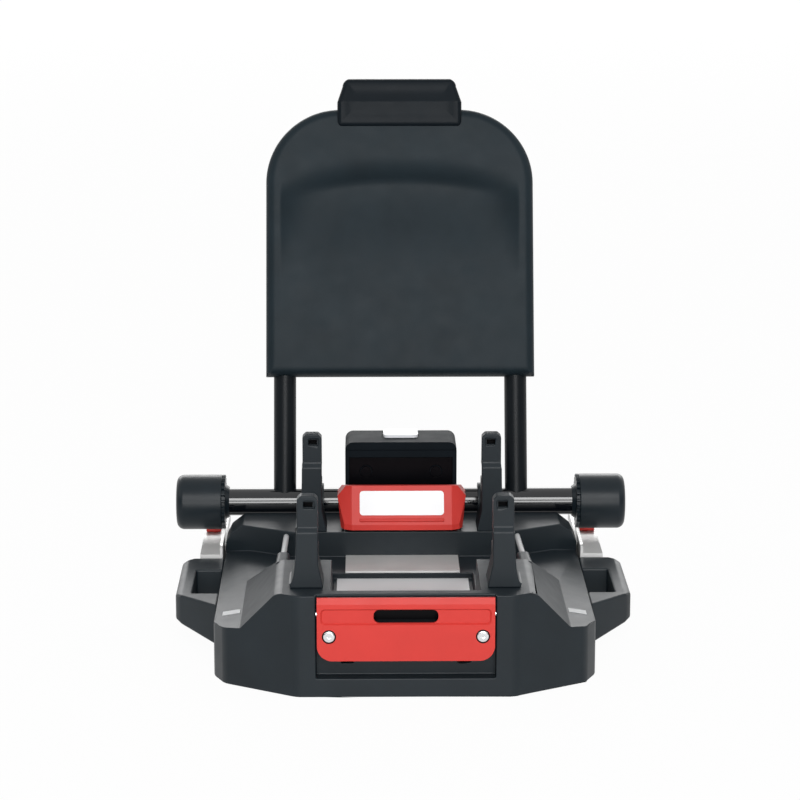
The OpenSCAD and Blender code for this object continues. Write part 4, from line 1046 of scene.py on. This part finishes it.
@dataclass(frozen=True)
class Lamp:
    """One soft area lamp.

    Args:
        name: its name.
        place: where it stands.
        aim: the point that it faces.
        size: its width and height.
        power: its power in watts.
    """

    name: str
    place: tuple[float, float, float]
    aim: tuple[float, float, float]
    size: tuple[float, float]
    power: float

    def build(self) -> None:
        """Adds the lamp to the scene."""
        data = bpy.data.lights.new(self.name, "AREA")
        data.shape = "RECTANGLE"
        data.size, data.size_y = self.size
        data.energy = self.power
        lamp = bpy.data.objects.new(self.name, data)
        bpy.context.scene.collection.objects.link(lamp)
        lamp.location = self.place
        gaze = Vector(self.aim) - Vector(self.place)
        lamp.rotation_euler = gaze.to_track_quat("-Z", "Y").to_euler()


@dataclass
class Studio:
    """Floor, camera and lamps."""

    lens: float = 127.3
    sensor: float = 36.0
    eye: tuple[float, float, float] = (-27.0 * MM, -1926.2 * MM, 594.5 * MM)
    clip: tuple[float, float] = (0.1, 50.0)
    pitch: float = 12.3
    yaw: float = -0.735
    lamps: tuple[Lamp, ...] = (
        Lamp("front", (0.0, -3.0, 0.6), (0.0, 0.1, 0.09), (1.6, 0.8), 34.0),
        Lamp("key", (0.1, -2.35, 1.72), (0.0, 0.1, 0.1), (1.2, 1.0), 36.0),
        Lamp("left", (-2.2, -0.4, 1.4), (0.0, 0.0, 0.15), (1.0, 1.0), 5.0),
        Lamp("right", (2.2, -0.4, 1.4), (0.0, 0.0, 0.15), (1.0, 1.0), 5.0),
        Lamp("rear", (0.0, 6.6, 2.5), (0.0, 0.1, 0.1), (7.0, 2.5), 210.0),
    )
    floor_size: float = 13.0
    floor_pale: float = 0.9
    floor_rough: float = 0.9
    floor_specular: float = 0.1
    floor_share: float = 0.96
    fill: float = 0.30
    dim: float = 0.28
    behind: tuple[float, float] = (-0.25, 0.30)
    above: tuple[float, float] = (0.25, 0.75)

    def build(self) -> None:
        """Sets up the whole studio."""
        self._camera()
        self._floor()
        self._world()
        for lamp in self.lamps:
            lamp.build()

    def _camera(self) -> None:
        """Camera at the viewing angle."""
        data = bpy.data.cameras.new("view")
        data.lens, data.sensor_width = self.lens, self.sensor
        data.clip_start, data.clip_end = self.clip
        cam = bpy.data.objects.new("view", data)
        bpy.context.scene.collection.objects.link(cam)
        cam.location = self.eye
        cam.rotation_euler = (math.radians(90.0 - self.pitch), 0.0, math.radians(self.yaw))
        bpy.context.scene.camera = cam

    def _floor(self) -> None:
        """Pale floor that keeps the shadow and shows as almost white."""
        Bench.clear()
        bpy.ops.mesh.primitive_plane_add(size=self.floor_size, location=(0.0, 0.0, 0.0))
        floor = bpy.context.object
        floor.name = "floor"
        mat = bpy.data.materials.new("pale floor")
        mat.use_nodes = True
        nodes, links = mat.node_tree.nodes, mat.node_tree.links
        shader = nodes["Principled BSDF"]
        shader.inputs["Base Color"].default_value = (*[self.floor_pale] * 3, 1.0)
        shader.inputs["Roughness"].default_value = self.floor_rough
        shader.inputs["Specular IOR Level"].default_value = self.floor_specular
        glow = nodes.new("ShaderNodeEmission")
        glow.inputs["Color"].default_value = (1.0, 1.0, 1.0, 1.0)
        share = nodes.new("ShaderNodeMath")
        share.operation = "MULTIPLY"
        share.inputs[1].default_value = self.floor_share
        mix = nodes.new("ShaderNodeMixShader")
        links.new(self._seen(mat.node_tree), share.inputs[0])
        links.new(share.outputs["Value"], mix.inputs["Fac"])
        links.new(shader.outputs["BSDF"], mix.inputs[1])
        links.new(glow.outputs["Emission"], mix.inputs[2])
        links.new(mix.outputs["Shader"], nodes["Material Output"].inputs["Surface"])
        floor.data.materials.append(mat)

    def _seen(self, tree: Tree) -> Socket:
        """Gives 1 for the rays that show a surface, and 0 for those that light one."""
        path = tree.nodes.new("ShaderNodeLightPath")
        kinds = ("Is Camera Ray", "Is Glossy Ray", "Is Transmission Ray")
        return self._highest(tree, [path.outputs[kind] for kind in kinds])

    def _highest(self, tree: Tree, sockets: list[Socket]) -> Socket:
        """Adds nodes that give the highest value of several sockets."""
        total = sockets[0]
        for socket in sockets[1:]:
            node = tree.nodes.new("ShaderNodeMath")
            node.operation = "MAXIMUM"
            tree.links.new(total, node.inputs[0])
            tree.links.new(socket, node.inputs[1])
            total = node.outputs["Value"]
        return total

    def _world(self) -> None:
        """White backdrop behind and above, a dim room in front, and softer light elsewhere."""
        world = bpy.data.worlds.new("studio")
        bpy.context.scene.world = world
        world.use_nodes = True
        tree = world.node_tree
        nodes, links = tree.nodes, tree.links
        split = nodes.new("ShaderNodeSeparateXYZ")
        links.new(nodes.new("ShaderNodeTexCoord").outputs["Generated"], split.inputs["Vector"])
        sides = [nodes.new("ShaderNodeLightPath").outputs["Is Camera Ray"]]
        for axis, (low, high) in (("Y", self.behind), ("Z", self.above)):
            side = nodes.new("ShaderNodeMapRange")
            side.inputs["From Min"].default_value = low
            side.inputs["From Max"].default_value = high
            side.inputs["To Min"].default_value = self.dim
            side.inputs["To Max"].default_value = 1.0
            links.new(split.outputs[axis], side.inputs["Value"])
            sides.append(side.outputs["Result"])
        level = nodes.new("ShaderNodeMix")
        level.inputs["A"].default_value = self.fill
        links.new(self._seen(tree), level.inputs["Factor"])
        links.new(self._highest(tree, sides), level.inputs["B"])
        background = nodes["Background"]
        background.inputs["Color"].default_value = (1.0, 1.0, 1.0, 1.0)
        links.new(level.outputs["Result"], background.inputs["Strength"])


NODE_FINISHES: dict[str, tuple[str, ...]] = {
    "shell": ("bottom_plate", "tube_bracket_left", "tube_bracket_right", "lever_bracket",
              "handle_arm", "brake_shoe"),
    "pad": ("seat_pad",),
    "grip": ("knob_pinion_left", "knob_pinion_right"),
    "film": ("info_label", "lever_label"),
    "tube": ("cross_tube",),
    "post": ("post_left", "post_right"),
    "zinc": ("carriage_beam", "carriage_tongue", "floor_plate", "guide_rails"),
    "smoke": ("tilt_screws",),
    "bright": ("lever_pin", "base_screws", "handle_pins", "latch_yoke", "latch_springs",
               "brake_bolt", "bolt_spring", "jaw_pins", "anchor_jaw_left", "anchor_jaw_right",
               "brake_drum", "panel_screws", "button_spring", "shoe_pin"),
}


def dress_nodes(finishes: Finishes) -> None:
    """Gives every CAD node that stays in view its finish."""
    for finish, nodes in NODE_FINISHES.items():
        for node in nodes:
            obj = frame["nodes"][node]
            Bench.dress(obj, getattr(finishes, finish))
            Bench.smooth(obj)


def main() -> None:
    """Builds the base piece by piece."""
    logging.basicConfig(level=logging.INFO, format="%(message)s")
    bpy.context.scene.view_settings.view_transform = "Standard"
    Bench.clear()
    finishes = Finishes()
    for part in (Shell, Releases, ReboundFrame, TubeEnds, TiltLock, AnchorArms):
        part(finishes).build()
    dress_nodes(finishes)
    Studio().build()
    Bench.clear()


if __name__ == "__main__":
    main()
